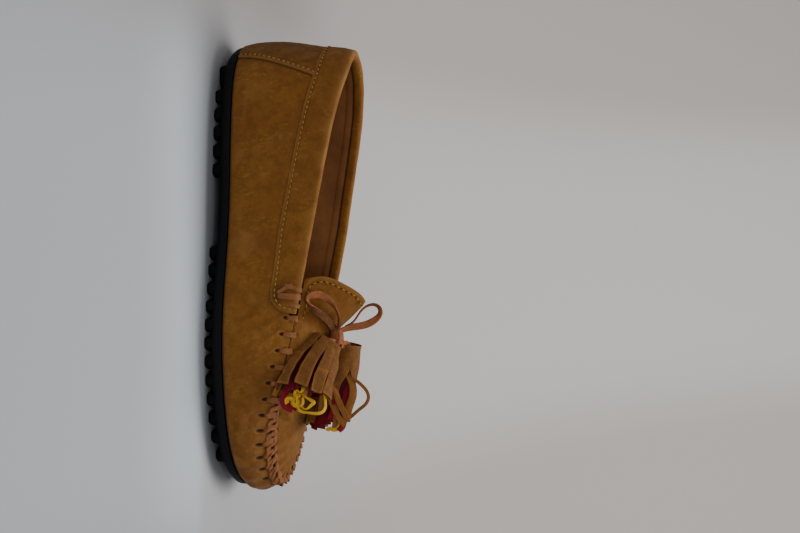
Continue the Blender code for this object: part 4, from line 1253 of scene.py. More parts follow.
def make_vamp():
    """The outside of the wall, its edge turned in under the foot, and its inside."""
    turn = closer_in_front(VAMP_TURNS)[:, None]
    x = top_line(turn)[..., 0]
    lowered = BAND_OVER * (1 - smooth(x, BAND_END + 0.6, BAND_END + 2.0))
    lip = LEATHER / 2
    rounded = lip * (1 - np.cos(np.linspace(0.3, np.pi / 2, 5)))
    drops = np.concatenate([rounded, np.arange(1.4, 7.4, 0.42), np.arange(7.6, 14.2, 0.95)])
    down = lowered + drops[None]
    rise = below_top(turn, down)
    share = np.linspace(1, 0, VAMP_ROWS)[None, 1:] ** 0.94
    rise = np.concatenate([rise, rise[:, -1:] * share], 1)
    down = (1 - rise) * height_at(turn)
    skin_points = skin(turn, rise)
    out, dark, rubbed = vamp_relief(turn, down, skin_points)
    covered = 1 - smooth(x, BAND_END - 1.5, BAND_END + 1.0)
    hidden = smooth(COUNTER_FRONT[1] - x, -2, 1) * covered
    bare = 1 - np.clip(covered * (1 - smooth(down, BAND_DEPTH - 3.5, BAND_DEPTH + 1)) + hidden, 0, 1)
    out = out * bare
    first = down - lowered < lip
    rounding = np.where(first, lip * (np.sin(np.arccos(np.clip(1 - (down - lowered) / lip, -1, 1))) - 1), 0)
    outside = skin_points + skin_frame(turn, rise)[0] * (out + rounding)[..., None]
    inner_rise = np.linspace(0.12, 1, INSIDE_ROWS)[None] * below_top(turn, lowered + 0.4)
    inside = wall(turn, inner_rise, -LEATHER + 0 * inner_rise)
    line = foot_line(turn[:, 0])
    reach = outward(turn[:, 0])
    under = [on_sole(line - reach * 0.8, 0.0), on_sole(line - reach * MARGIN, 0.0)]
    under += [on_sole(line - reach * MARGIN, LEATHER), on_sole(line - reach * LEATHER * 0.8, LEATHER)]
    points = np.concatenate([outside, np.stack(under, 1), inside], 1)
    rows = points.shape[1]
    finish = np.zeros(rows, int)
    finish[outside.shape[1] + 2 :] = 1
    # painted shadow along the foot of the wall, where the upper meets the sole
    painted_foot_shadow = 1 - smooth(outside[..., 2] - spring(outside[..., 0]), SOLE_TOP, SOLE_TOP + 1.6)
    dark = np.clip(dark * bare + 0.75 * painted_foot_shadow, 0, 1)
    marks = {"dark": plain_beyond(dark, rows - dark.shape[1])}
    marks["rubbed"] = plain_beyond(rubbed * bare, rows - rubbed.shape[1])
    piece = Piece("vamp_and_quarters")
    piece.grid(points, wrap_rows=True, wrap_columns=True, finish=finish[None], **marks)
    settle(piece.make(NUBUCK, LINING, sharp=1.0), "tan_nubuck", "upper")


make_vamp()


# ---- The apron and tongue ----


def make_apron():
    """One sheet from the toe to the tongue's tip, gathered along the seam."""
    sewn = turn_at(np.array([TUCKED_TO, APRON_TIP]))
    around = top_line(np.linspace(sewn[0], sewn[1], 190))[:, 0]
    edges = np.concatenate([np.linspace(APRON["edge"][0], TUCKED_TO, 34, endpoint=False), around])
    across = np.sin(np.linspace(-1, 1, 75) * np.pi / 2 * 0.985)
    across = across / across[-1]
    top = np.array([apron(edge, across) for edge in edges])
    along, sideways = np.gradient(top, axis=0), np.gradient(top, axis=1)
    normal = unit(np.cross(along, sideways))
    away, turn = seam_near(top)
    share = np.array([sewn_share(edge) for edge in edges])[:, None]
    lean = share * np.exp(-((away / 3) ** 2))
    thick = unit(normal + (skin_frame(turn, 1.0)[0] - normal) * lean[..., None])
    way = past_stitches(turn)
    pulled = np.exp(-((way / 2.0) ** 2)).sum(-1)
    toe = smooth(top[..., 0], 196, 228)
    reach = 4.5 + 5 * toe
    gathers = (0.12 + 0.5 * toe) * (0.45 - pulled) * np.exp(-((away / reach) ** 2))
    gathers = gathers * smooth(away, 0.6, 2.4) * share
    hole = (np.exp(-((way / 1.0) ** 2)) * np.exp(-(((away[..., None] - 3.0) / 0.8) ** 2))).sum(-1) * share
    soft = 0.2 * unevenness(top, 20.0, 8) + 0.07 * unevenness(top, 6.0, 9)
    rim = np.minimum(smooth(1 - abs(across), 0, 0.05)[None], smooth(edges - edges[0], 0.0, 1.6)[:, None])
    free = np.array([1 - sewn_share(edge) for edge in edges])[:, None]
    inset = edge_distance(top)
    groove = 0.22 * bell(inset, TONGUE_INSET, 0.6) * free
    out = gathers + soft * smooth(away, 1.0, 5.0) * rim - 0.7 * hole - groove
    face = top + normal * (out - 0.5 * (1 - rim))[..., None]
    back = top - thick * (LEATHER - 0.5 * (1 - rim))[..., None]
    loops = np.concatenate([face, back[:, ::-1]], 1)
    rubbed = 0.4 * smooth(gathers, 0.02, 0.25) + 0.35 * smooth(unevenness(top, 14.0, 12), 0.3, 1.2)
    rubbed = rubbed + 0.55 * free * bell(inset, 0.4, 1.2)
    # painted shade: in the stitch holes, along the sunken seam and towards the toe
    dark = hole * 0.9 + 0.35 * share * bell(away, 0.3, 0.8) + 0.12 * smooth(top[..., 0], 190, 215)
    dark = np.clip(dark, 0, 1)
    columns = len(across)
    marks = {"dark": plain_beyond(dark, columns), "rubbed": plain_beyond(np.clip(rubbed, 0, 1), columns)}
    finish = np.repeat([0, 1], columns)[None]
    piece = Piece("apron_and_tongue").grid(loops, wrap_columns=True, caps=True, finish=finish, **marks)
    settle(piece.make(NUBUCK, LINING, sharp=1.0), "tan_nubuck", "plug_tongue")
    return top, normal


def edge_distance(top):
    """How far each point of the sheet is from its free outline, along the sheet."""
    sideways = np.linalg.norm(np.diff(top, axis=1), axis=2)
    left = np.concatenate([np.zeros((len(top), 1)), np.cumsum(sideways, 1)], 1)
    right = left[:, -1:] - left
    lengthways = np.linalg.norm(np.diff(top, axis=0), axis=2)
    tip = np.concatenate([np.zeros((1, top.shape[1])), np.cumsum(lengthways, 0)], 0)
    corner = 7.0
    side = np.minimum(left, right)
    rounded = corner - np.hypot(np.clip(corner - side, 0, None), np.clip(corner - tip, 0, None))
    return np.minimum(np.minimum(side, tip), np.where((side < corner) & (tip < corner), rounded, 99))


APRON_TOP, APRON_OUT = make_apron()


# ---- The collar band and the backstay ----


def band_rise(x):
    """How much higher the band's lower edge lies towards its front end."""
    return BAND_RISE * np.clip((x - BAND_RISE_FROM) / (BAND_END - BAND_RISE_FROM), 0, 1)


def band_depth(x, end=BAND_END, corner=BAND_CORNER, depth=BAND_DEPTH):
    """How far down the band's lower edge lies, with its rounded front corner."""
    into_corner = np.clip((x - end) / corner + 1, 0, 1)
    return depth - corner * (1 - np.sqrt(1 - into_corner**2)) - band_rise(x)


# The band's section from its lower edge over the roll to its inner edge, and on down the lining: out of the
# skin, and how far down, as a share of its depth and in millimetres
BAND_SECTION = np.array(
    [
        (0.35, 1.0, 0.0),
        (0.95, 1.0, 0.0),
        (1.45, 1.0, -0.25),
        (1.75, 1.0, -0.8),
        (1.95, 0.8, 0.0),
        (2.3, 0.58, 0.0),
        (2.45, 0.32, 0.0),
        (2.1, 0.12, 0.0),
        (1.2, 0.0, 0.35),
        (-0.9, 0.0, 0.0),
        (-2.9, 0.0, 0.45),
        (-3.85, 0.0, 2.2),
        (-3.75, 0.0, 4.0),
        (-3.0, 0.0, 5.0),
        (-2.9, 0.0, 7.0),
        (-2.5, 0.0, 9.0),
    ]
)
BAND_BACK = [(8.9, -2.1), (3.1, -2.1), (3.1, 0.35), (6.0, 0.35)]  # its hidden side: how far down, and out
BAND_POINTS = 68  # on the curve through the section
OUTER_SHARE, INNER_SHARE = 0.62, 0.66  # which share of them lies outside, and from where on they lie inside
BAND_HEM = 4.7  # how far down inside the shoe the band's leather ends and the lining starts
STAIN, STAIN_SIZE = (144.0, 11.0), (6.0, 3.5)  # a stain by its front end: along the shoe and down the band


def make_band():
    """The band all round the collar, with its roll, its lining and its hidden side."""
    first = turn_at(BAND_END - 0.02)
    ease = np.linspace(-1, 1, 760)
    turn = np.sign(ease) * first * (1 - (1 - abs(ease)) ** 1.25)
    x = top_line(turn)[:, 0]
    depth = band_depth(x)
    knots = np.linspace(0, 1, len(BAND_SECTION))
    fine = np.linspace(0, 1, BAND_POINTS)
    out = spline(fine, knots, BAND_SECTION[:, 0])[None]
    down = np.stack([spline(fine, knots, BAND_SECTION[:, 1] * d + BAND_SECTION[:, 2]) for d in depth])
    end = smooth(BAND_END - x, 0.0, 1.8)[:, None]
    out = 0.35 + (out - 0.35) * (0.35 + 0.65 * end) * np.where(out > 0.35, 1, 1 / (0.35 + 0.65 * end))
    rise = below_top(turn[:, None], down)
    points = skin(turn[:, None], rise)
    outer, inner = (fine < OUTER_SHARE)[None], (fine > INNER_SHARE)[None]
    inset = band_inset(x[:, None], down)
    row = 0.3 * bell(inset, THREAD_INSET, 0.75) * outer
    soft = 0.2 * unevenness(points, 17.0, 21) + 0.12 * unevenness(points, 6.0, 22)
    soft = soft * smooth(fine, 0.1, 0.2)[None]
    wave = 0.18 * np.sin(turn[:, None] * 31 + 2 * unevenness(points, 30.0, 23)) * bell(down, 1.5, 3.0)
    out = out + soft * smooth(1 - fine, 0.08, 0.2)[None] - row + wave
    points = wall(turn[:, None], rise, out)
    rubbed = bell(down, 0.3, 2.6) * (0.45 + 0.3 * unevenness(points, 12.0, 25)) * outer
    rubbed = np.clip(rubbed + 0.3 * bell(inset, 0.5, 0.9) * outer, 0, 1)
    across, below = (x[:, None] - STAIN[0]) / STAIN_SIZE[0], (down - STAIN[1]) / STAIN_SIZE[1]
    stain = 0.5 * np.exp(-(across**2) - below**2) * outer
    # painted shadow under the band's lower edge and along its hem inside, added to the stain
    dark = 0.8 * bell(fine, 0.0, 0.02)[None] + stain
    dark = np.clip(dark + 0.9 * (bell(down, BAND_HEM, 0.5) * inner), 0, 1)
    back_down, back_out = np.array(BAND_BACK).T[:, None]
    back = wall(turn[:, None], below_top(turn[:, None], back_down), back_out)
    points = np.concatenate([points, back], 1)
    lined = inner[0] & (down[len(down) // 2] > BAND_HEM)
    finish = np.concatenate([lined, np.ones(len(BAND_BACK), bool)]).astype(int)
    marks = {"rubbed": plain_beyond(rubbed, len(BAND_BACK)), "dark": plain_beyond(dark, len(BAND_BACK))}
    piece = Piece("collar_band").grid(points, wrap_columns=True, caps=True, finish=finish[None], **marks)
    settle(piece.make(NUBUCK, LINING, sharp=0.9), "tan_nubuck", "collar_cuff")


def band_inset(x, down):
    """How far a place on the band is from its lower and front outline."""
    front, low = BAND_END - x, BAND_DEPTH - band_rise(x) - down
    into_x, into_z = np.clip(BAND_CORNER - front, 0, None), np.clip(BAND_CORNER - low, 0, None)
    rounded = BAND_CORNER - np.hypot(into_x, into_z)
    return np.where((into_x > 0) & (into_z > 0), rounded, np.minimum(front, low))


make_band()


def backstay_front(share):
    """Where its front edge lies round the shoe, from its lower end to its upper one."""
    low, high = (turn_at(x) for x in COUNTER_FRONT)
    return low + (high - low) * share


def backstay_rise(turn, share):
    """From just above the sole to just under the band's lower edge."""
    low = 0.012
    return low + (below_top(turn, BAND_DEPTH - 1.0) - low) * share


def make_backstay():
    share = np.linspace(0, 1, 90)[:, None]
    sides = np.linspace(-1, 1, 130)
    sides = np.sign(sides) * (1 - (1 - abs(sides)) ** 1.15)
    turn = sides[None] * backstay_front(share)
    rise = backstay_rise(turn, share)
    points = skin(turn, rise)
    middle = len(sides) // 2
    chord = np.linalg.norm(points[:, :1] - points[:, middle : middle + 1], axis=2)
    inset = (1 - abs(sides))[None] * chord * ARC_OVER_CHORD
    edge = smooth(inset, 0.0, 0.9)
    groove = 0.25 * bell(inset, COUNTER_SEAM, 0.6)
    soft = 0.14 * unevenness(points, 15.0, 31) + 0.06 * unevenness(points, 5.0, 32)
    face = wall(turn, rise, COUNTER_GAP + COUNTER * (0.45 + 0.55 * edge) - groove + soft * edge)
    back = wall(turn, rise, COUNTER_GAP / 2 + 0 * turn)
    loops = np.concatenate([face, back[:, ::-1]], 1)
    rubbed = 0.75 * bell(inset, 0.7, 0.8) + 0.3 * smooth(unevenness(points, 12.0, 33), 0.2, 1.0)
    # painted shade over the whole backstay, darker still along its front edge
    dark = np.clip(0.24 + 0.76 * bell(inset, 0, 0.3), 0, 1)
    columns = len(sides)
    marks = {"rubbed": plain_beyond(np.clip(rubbed, 0, 1), columns), "dark": plain_beyond(dark, columns)}
    piece = Piece("backstay").grid(loops, wrap_columns=True, caps=True, **marks)
    settle(piece.make(NUBUCK, sharp=0.9), "tan_nubuck", "heel_counter")


make_backstay()


# ---- Footbed and sole ----

SOLE_TURNS = 360


def middle_line(turn, level):
    """The points on the sole's middle line that belong to the points of its outline."""
    half = (foot_line(turn)[:, :2] + foot_line(-turn)[:, :2]) / 2
    x = np.clip(half[:, 0], 26, 214)
    order = slice(0, SOLE_TURNS // 2 + 1)
    y = np.interp(x, half[order, 0], half[order, 1])
    return np.stack([x, y, level + spring(x)], -1)


# The footbed's rim from its top to its underside: how high, and how far in
FOOTBED_RIM = [(INSOLE, 0.9), (INSOLE, 0.4), (INSOLE * 0.8, 0.06), (INSOLE * 0.4, 0.0), (0.0, 0.1)]


def make_footbed():
    """The footbed, with the faint print of a foot."""
    turn = np.linspace(0, 2 * np.pi, SOLE_TURNS, endpoint=False)
    base = LEATHER + 0.4
    rings = []
    for level, inset in FOOTBED_RIM:
        rise = (base + level) / height_at(turn)
        rings.append(skin(turn, rise) - outward(turn) * (INSOLE_INSET + inset))
    over = middle_line(turn, SOLE_TOP + base + INSOLE)
    under = middle_line(turn, SOLE_TOP + base)
    shares = np.linspace(1, 0, 22)
    inward = []
    for share in shares[:-1]:
        ring = rings[0] + (over - rings[0]) * share
        print_of_foot = 0.5 * unevenness(ring, 30.0, 41) * (share > 0.05) + 0.5 * bell(share, 0.15, 0.1)
        ring = ring + np.array([0, 0, 1]) * (print_of_foot * smooth(share, 0.0, 0.12))[:, None]
        inward.append(ring)
    points = np.stack([over, *inward[1:], *rings, rings[-1] + (under - rings[-1]) * 0.5, under], 1)
    piece = Piece("footbed").grid(points, wrap_rows=True)
    settle(piece.make(LINING, sharp=0.9), "lining_leather", "insole")


make_footbed()

# The sole's edge from its top to its underside: how far inside the feather line, and how high, as a share of
# the plate's height
EDGE_SECTION = [(0.4, 1.0), (-0.3, 1.0), (-0.72, 0.96), (-0.85, 0.86), (-0.85, 0.6), (-0.85, 0.4)]
EDGE_SECTION += [(-0.72, 0.28), (-0.3, 0.17), (0.2, 0.08), (0.7, 0.02), (1.4, 0.0), (5.0, 0.0)]
SOLE_GAP = 0.3  # between the plate and the upper


def make_sole():
    """The rubber plate with its rounded edge."""
    turn = np.linspace(0, 2 * np.pi, SOLE_TURNS, endpoint=False)
    line, out = foot_line(turn), outward(turn)
    x = line[:, 0]
    heel = np.clip(1 - x / HEEL_CURVE, 0, 1) ** 2
    top = SOLE_TOP - SOLE_GAP
    low = PLATE_BOTTOM + HEEL_LIFT * heel
    tucked = 3.5 * heel + 1.0 * np.clip((x - 225) / 20, 0, 1)
    rings = []
    for inset, height in EDGE_SECTION:
        moved = line - out * (inset + tucked * (1 - height) * smooth(1 - height, 0.4, 1))[:, None]
        moved[:, 2] = low + (top - low) * height + spring(x) + 0.05 * unevenness(moved, 12.0, 51)
        rings.append(moved)
    over, under = middle_line(turn, top), middle_line(turn, PLATE_BOTTOM)
    inner = [rings[-1] + (under - rings[-1]) * share for share in (0.3, 0.65)]
    points = np.stack([over, rings[0] + (over - rings[0]) * 0.5, *rings, *inner, under], 1)
    piece = Piece("sole_plate").grid(points, wrap_rows=True)
    settle(piece.make(RUBBER, sharp=0.8), "black_rubber", "outsole")


make_sole()


# ---- The whip lace over the seam, the ties on the band and the knot ----


def apron_height(points):
    """The height of the apron's upper side at places near the seam."""
    flat = APRON_TOP.reshape(-1, 3)
    near = np.linalg.norm(points[:, None, :2] - flat[None, :, :2], axis=2)
    return flat[near.argmin(1), 2]


PINCHED = 2.0  # the lace's width in its hole


def laced(points, facing):
    """A short lace through points with the way that each of them faces, and the share along it."""
    share = np.linspace(0, 1, 40)
    knots = np.linspace(0, 1, len(facing))
    return smooth_path(points, len(share)), unit(between(share, knots, np.array(facing))), share


def per_turn(turn):
    """How many millimetres of the seam one radian is."""
    return np.linalg.norm(top_line(turn + 5e-4) - top_line(turn - 5e-4)) / 1e-3


# A whip stitch after its first points: on the vamp's side as a share of its depth and how far out it stands,
# then over the apron as how far inward it reaches and how far above it; and how much of its slant it has
ON_VAMP = [(0.4, 0.6, 0.55), (0.16, 0.65, 0.8)]
ON_APRON = [(0.9, 0.75, 1.0), (1.6, 0.5, 1.05), (2.2, -0.1, 1.05), (2.4, -1.1, 1.05)]
INNER_FLATNESS = 0.35  # what the stitches of the inner side stand out, as a share of the outer side's


def whip_stitch(piece, turn, down, low, slant, wide, chance):
    """One stitch: out of its hole in the vamp, over the seam and into its hole in the apron."""
    pace = per_turn(turn)
    flat = 1.0 if turn < np.pi else INNER_FLATNESS

    def pressed(height):
        return height * flat if height > 0 else height

    points, facing = [], []
    for share, out, lean in [(low, -1.1, 0), (low - 0.08, -0.1, 0.05), (low - 0.24, 0.45, 0.25), *ON_VAMP]:
        at = turn + slant * lean / pace
        rise = below_top(at, down * share)
        points.append(wall(at, rise, np.array(pressed(out))))
        facing.append(skin_frame(at, rise)[0])
    normal, up = skin_frame(turn, 1.0)
    at = turn + slant * 0.95 / pace
    points.append(top_line(at) + unit(normal * 0.7 + 1.6 * up) * (0.35 + 0.5 * flat))
    facing.append(unit(normal + 1.6 * up))
    along = top_line(turn + 1e-3) - top_line(turn)
    inward = unit(np.array([-along[1], along[0], 0]))
    for reach, over, lean in ON_APRON:
        onto = top_line(turn + slant * lean / pace) + inward * reach
        onto[2] = apron_height(onto[None])[0] + pressed(over)
        points.append(onto)
        facing.append(np.array([0.25 * -inward[0], 0.25 * -inward[1], 1.0]))
    path, facing, share = laced(points, facing)
    gathered = smooth(share, 0.02, 0.42) * (1 - smooth(share, 0.86, 1.0))
    width = PINCHED + (wide - PINCHED) * gathered
    twist = chance.uniform(-0.04, 0.04)
    # painted shade where the lace goes into its holes
    dark = np.clip(1.2 - share / 0.08, 0, 1) * 0.7 + np.clip(1 - (1 - share) / 0.08, 0, 1) * 0.6
    strip(piece, path, facing, width, LACE, twist, dark=dark[:, None])


def make_whip_lace():
    """Every whip stitch, with a second slanted one beside each round the toe."""
    piece = Piece("whip_lace_stitches")
    chance = np.random.default_rng(7)
    for turn, down in zip(STITCH_TURNS, STITCH_DOWN):
        x = top_line(turn)[0]
        toe = smooth(x, 200, 216)
        slant = -3.0 * toe - 4.5 * smooth(x, 220, 238) + chance.uniform(-0.3, 0.3)
        wide = 3.1 + 0.3 * chance.uniform(-1, 1) + 0.5 * toe
        whip_stitch(piece, turn, down, 0.86 - 0.12 * toe, slant, wide, chance)
        if toe > 0.2:
            whip_stitch(piece, turn - 0.9 / per_turn(turn), down, 0.66, slant - 3.4, wide * 0.8, chance)
    settle(piece.make(WHIP_LEATHER), "salmon_lace", "whip_lace")


make_whip_lace()

# The lace on the band's front ends: its points along the shoe, how far down and out of the skin; its width
TIE_ROWS = [
    ([(144.0, 1.4, -3.4), (144.0, -0.1, -1.0), (144.2, 0.1, 1.2), (144.4, 2.0, 3.6),
      (144.6, 5.0, 3.7), (144.8, 8.2, 3.5), (145.0, 10.0, 3.0), (145.0, 10.9, 1.4)], 3.3),
    ([(140.4, 1.4, -3.4), (140.6, -0.1, -1.0), (140.6, 0.2, 1.4), (140.4, 2.0, 3.3),
      (139.8, 5.0, 3.3), (139.2, 7.6, 2.9), (139.0, 8.6, 1.4)], 2.6),
    ([(138.2, 4.4, 1.2), (138.8, 5.4, 2.9), (140.6, 8.0, 3.0), (142.6, 10.2, 2.9), (143.6, 11.4, 1.4)], 2.0),
    ([(149.2, 0.6, -2.6), (149.0, -0.5, 0.0), (148.9, 0.6, 2.4),
      (148.7, 3.0, 3.0), (148.4, 5.0, 2.6), (148.3, 6.0, 1.2)], 2.2),
]


def make_ties():
    """The knotted lace on the band's two front ends."""
    for name, side in (("tie_lateral", -1), ("tie_medial", 1)):
        piece = Piece("cuff_" + name + "_lace")
        for rows, width in TIE_ROWS:
            points, facing = [], []
            for x, down, out in rows:
                turn = -side * turn_at(x)
                rise = below_top(turn, np.array(down))
                points.append(wall(turn, rise, np.array(out)))
                normal, up = skin_frame(turn, rise)
                facing.append(normal + up * np.clip(1 - down / 1.6, 0, 1.5))
            path, facing, share = laced(points, facing)
            gathered = 1 - 0.5 * smooth(share, 0.8, 1.0)
            # painted shade where the lace goes into its hole
            dark = (np.clip(1.1 - (1 - share) / 0.08, 0, 1) * 0.85)[:, None]
            strip(piece, path, facing, width * gathered, LACE, dark=dark)
        settle(piece.make(WHIP_LEATHER), "salmon_lace", "cuff_" + name)


make_ties()


# The knot's turns: where each starts along the knot, how far it leans, and its share of the full size
KNOT_TURNS = [(-3.0, 0.9, 1.0), (-0.4, 0.5, 1.08), (2.4, -0.7, 0.98)]
KNOT_RADIUS, KNOT_REACH = 2.9, 5.6
KNOT_CORE = (4.6, 2.2)  # half its length, and its radius
KNOT_BRIDGE = [(166.6, -5.4, 64.6), (164.6, -6.6, 65.7), (161.6, -6.9, 65.6), (158.9, -6.4, 64.3)]
KNOT_BRIDGE += [(158.0, -5.0, 62.6)]


def make_knot():
    """The knot: the lace wound round its own core, pulled tight."""
    piece = Piece("bow_knot_lace")
    for k, (start, lean, size) in enumerate(KNOT_TURNS):
        angle = np.linspace(0, 2 * np.pi, 60)
        along = start + lean * np.sin(angle + 0.6 * k)
        swell = np.sqrt(np.clip(1 - (along / KNOT_REACH) ** 2, 0.1, 1)) * size
        ring = [np.sin(angle) * KNOT_RADIUS * swell, np.cos(angle) * KNOT_RADIUS * swell]
        path = KNOT + np.stack([along, *ring], 1)
        facing = path - (KNOT + np.stack([along * 0.7, 0 * along, 0 * along], 1))
        strip(piece, path, facing, 4.0, 1.2, 0.02)
    core = np.linspace(-1, 1, 24)
    size = np.sqrt(np.clip(1 - core**2, 0.0, 1)) * KNOT_CORE[1]
    angle = np.linspace(0, 2 * np.pi, 28, endpoint=False)[None]
    ring = np.stack([np.cos(angle) * size[:, None], np.sin(angle) * size[:, None]], -1)
    points = np.concatenate([core[:, None, None] * KNOT_CORE[0] + 0 * ring[..., :1], ring], 2) + KNOT
    piece.grid(points, wrap_columns=True, flesh=0.6 + 0 * core[:, None])
    strip(piece, smooth_path(KNOT_BRIDGE, 30), (0.1, -0.5, 0.85), 3.3, 1.1)
    settle(piece.make(LACE_LEATHER), "salmon_lace", "bow_knot")


make_knot()


# ---- What repeats: thread stitches, needle holes and the studs of the sole ----


class Recipe(Board):
    """A geometry tree with named inputs, which places one thing many times."""

    def __init__(self, name, inputs):
        self.tree = bpy.data.node_groups.new(name, "GeometryNodeTree")
        self.tree.interface.new_socket("Geometry", in_out="OUTPUT", socket_type="NodeSocketGeometry")
        self.tree.interface.new_socket("Geometry", in_out="INPUT", socket_type="NodeSocketGeometry")
        for key, kind in inputs.items():
            self.tree.interface.new_socket(key, in_out="INPUT", socket_type="NodeSocket" + kind)
        self.group = self.tree.nodes.new("NodeGroupInput")

    def input(self, name):
        return Wire(self, self.group.outputs[name])

    def end(self, instances):
        real = self.node("GeometryNodeRealizeInstances", None, {"Geometry": instances})
        values = {"Geometry": real, "Material": self.input("Finish")}
        painted = self.node("GeometryNodeSetMaterial", None, values)
        out = self.tree.nodes.new("NodeGroupOutput")
        self.tree.links.new(painted.socket, out.inputs["Geometry"])


def thread_row():
    """A stitch, or a dark bead of painted shade for a needle hole, at every pitch along a line that knows
    which way is up.
    """
    r = Recipe("thread_row", {"Start": "Float", "Pitch": "Float", "Size": "Vector", "Finish": "Material"})
    line = r.node("GeometryNodeMeshToCurve", None, {"Mesh": r.input("Geometry")})
    line = r.node("GeometryNodeTrimCurve", {"mode": "LENGTH"}, {"Curve": line, 4: r.input("Start"), 5: 10.0})
    values = {"Curve": line, "Length": r.input("Pitch")}
    line = r.node("GeometryNodeResampleCurve", {"mode": "LENGTH"}, values)
    along = r.node("GeometryNodeInputTangent")
    up = r.node("GeometryNodeInputNamedAttribute", {"data_type": "FLOAT_VECTOR"}, {"Name": "up"})
    turned = r.node("FunctionNodeAlignRotationToVector", {"axis": "X"}, {"Vector": along})
    settings = {"axis": "Z", "pivot_axis": "X"}
    turned = r.node("FunctionNodeAlignRotationToVector", settings, {"Rotation": turned, "Vector": up})
    bead = r.node("GeometryNodeMeshUVSphere", None, {"Segments": 8, "Rings": 6, "Radius": 0.5})
    bead = r.node("GeometryNodeSetShadeSmooth", None, {"Geometry": bead})
    values = {"Points": line, "Instance": bead, "Rotation": turned, "Scale": r.input("Size")}
    r.end(r.node("GeometryNodeInstanceOnPoints", None, values))
    return r.tree


THREAD_ROW = thread_row()


def grow(name, recipe, points, edges, up, **values):
    """Runs a recipe on lines and keeps the plain mesh that it makes."""
    mesh = bpy.data.meshes.new(name)
    mesh.from_pydata(place(points).tolist(), edges, [])
    mesh.attributes.new("up", "FLOAT_VECTOR", "POINT").data.foreach_set("vector", np.ravel(up))
    seed = show(name + "_line", mesh)
    made = seed.modifiers.new("Recipe", "NODES")
    made.node_group = recipe
    for item in recipe.interface.items_tree:
        if item.in_out == "INPUT" and item.name in values:
            made[item.identifier] = values[item.name]
    bpy.context.view_layer.update()
    grown = seed.evaluated_get(bpy.context.evaluated_depsgraph_get())
    plain = bpy.data.meshes.new_from_object(grown)
    plain.name = name
    bpy.data.objects.remove(seed)
    return show(name, plain)


# What each pitch of a seam holds: how far its middle is raised, where it starts as a share of the pitch, its
# size along, across and up, and its finish
SEWN_BEADS = [
    ("_thread", 0.16, 0.0, (THREAD_LENGTH, THREAD, THREAD * 0.9), THREAD_GOLD),
    # the needle holes are dark beads of painted shade
    ("_needle_hole_shades", -0.04, 0.5, (0.86, 0.78, 0.56), NEEDLE_HOLE_SHADE),
]


def sew(name, node, lines, pitch=THREAD_PITCH):
    """Rows of thread with a dark bead of painted shade for a needle hole between each two stitches."""
    points = np.concatenate([line for line, _ in lines])
    ups = np.concatenate([up for _, up in lines])
    counts = np.cumsum([0] + [len(line) for line, _ in lines])
    edges = [(k, k + 1) for a, b in zip(counts, counts[1:]) for k in range(a, b - 1)]
    for kind, raised, start, size, finish in SEWN_BEADS:
        values = {"Start": start * pitch * MM, "Pitch": pitch * MM, "Size": [v * MM for v in size]}
        made = grow(name + kind, THREAD_ROW, points + ups * raised, edges, ups, Finish=finish, **values)
        settle(made, "tan_nubuck", node)


def band_seam():
    """The row of stitches along the band's lower edge and up its front ends."""
    front = turn_at(BAND_END - THREAD_INSET)
    turn = np.linspace(-front, front, 900)
    x = top_line(turn)[:, 0]
    down = band_depth(x, BAND_END - THREAD_INSET, BAND_CORNER - THREAD_INSET, BAND_DEPTH - THREAD_INSET)
    front_end = np.linspace(1.2, down[0], 12)[:-1]
    turn = np.concatenate([0 * front_end + turn[0], turn, 0 * front_end + turn[-1]])
    down = np.concatenate([front_end, down, front_end[::-1]])
    level = below_top(turn, down)
    normal = skin_frame(turn, level)[0]
    return skin(turn, level) + normal * ON_BAND, normal


def tongue_seam():
    """The row of stitches inside the tongue's free edge."""
    inside = edge_distance(APRON_TOP) >= TONGUE_INSET
    columns = inside.shape[1]
    free_rows = int(np.argmax([sewn_share(edge) > 0.0 for edge in APRON_TOP[:, 0, 0]]))
    left = []
    for i in range(free_rows - 1, 0, -1):
        if not inside[i, columns // 2]:
            break
        left.append((i, int(np.argmax(inside[i]))))
    corner = left[-1][1]
    over = [(int(np.argmax(inside[:, j])), j) for j in range(corner, columns - corner)]
    right = [(i, columns - 1 - j) for i, j in left[::-1]]
    keys = left + over + right
    points = np.array([APRON_TOP[k] for k in keys])
    normals = np.array([APRON_OUT[k] for k in keys])
    path = smooth_path(points[::4], 400)
    near = np.linalg.norm(path[:, None] - points[None], axis=2).argmin(1)
    return path, normals[near]


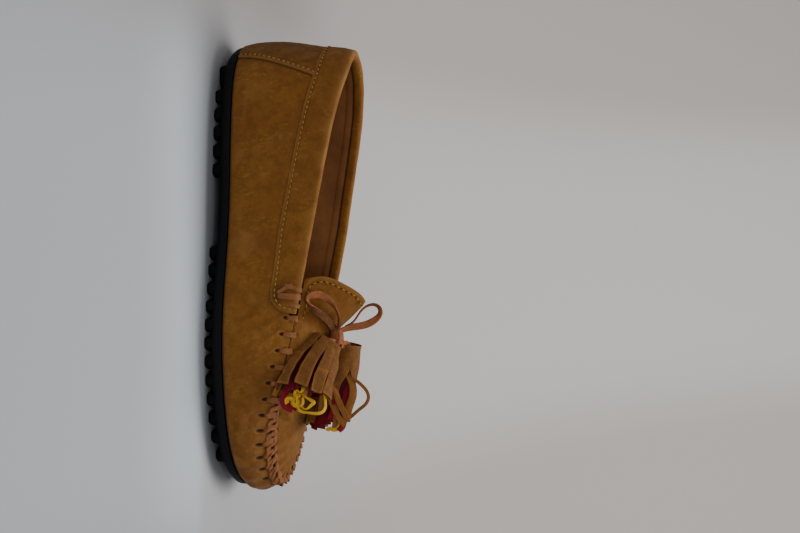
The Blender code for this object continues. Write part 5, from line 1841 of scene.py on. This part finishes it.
def backstay_seam(side):
    share = np.linspace(0.03, 0.97, 120)
    full = backstay_front(share)
    rise = backstay_rise(side * full, share)
    step = 1e-3
    pace = np.linalg.norm((skin(side * full + step, rise) - skin(side * full, rise)) / step, axis=1)
    inward = COUNTER_SEAM / pace
    turn = side * (full - inward)
    normal = skin_frame(turn, rise)[0]
    return skin(turn, rise) + normal * (COUNTER_GAP + COUNTER - 0.2), normal


sew("collar_band", "collar_cuff", [band_seam()])
sew("tongue", "plug_tongue", [tongue_seam()], pitch=3.4)
sew("backstay", "heel_counter", [backstay_seam(-1), backstay_seam(1)])


# A stud's rings from its root in the plate to the floor: how high, and its share of the full size
STUD_PROFILE = [(PLATE_BOTTOM + 0.6, 1.0), (1.2, 0.94), (0.5, 0.9), (0.14, 0.87), (0.0, 0.8)]


def stud_outline(half_x, half_y):
    """Six sides with rounded corners."""
    corners = np.array([(half_x, 0), (half_x - STUD_CUT, half_y), (STUD_CUT - half_x, half_y)], float)
    corners = np.concatenate([corners, -corners])
    points = []
    for before, here, after in zip(np.roll(corners, 1, 0), corners, np.roll(corners, -1, 0)):
        first, last = (here + unit(other - here) * STUD_CORNER for other in (before, after))
        for t in np.linspace(0, 1, 5):
            points.append(first * (1 - t) ** 2 + 2 * here * t * (1 - t) + last * t**2)
    return np.array(points)


def make_studs():
    """The studs that the sole stands on, where the rubber plate has them."""
    piece = Piece("sole_studs")
    for start, stop in STUD_ROWS:
        x = (start + stop) / 2
        ends = turn_at(np.array([start, stop]), FOOT_ENDS)
        low = foot_line(ends)[:, 1].max() + STUD_INSET + STUD_WIDTH / 2
        high = foot_line(-ends)[:, 1].min() - STUD_INSET - STUD_WIDTH / 2
        count = max(1, 1 + int((high - low) / STUD_PITCH_ACROSS))
        outline = stud_outline((stop - start) / 2, STUD_WIDTH / 2)
        for y in np.linspace(low, high, count) if count > 1 else [(low + high) / 2]:
            rings = []
            for z, grown in STUD_PROFILE:
                ring = np.column_stack([outline * grown + (x, y), np.full(len(outline), z)])
                ring[:, 2] += spring(ring[:, 0])
                rings.append(ring)
            piece.grid(np.array(rings), wrap_columns=True, caps=True)
    settle(piece.make(RUBBER), "black_rubber", "outsole")


make_studs()
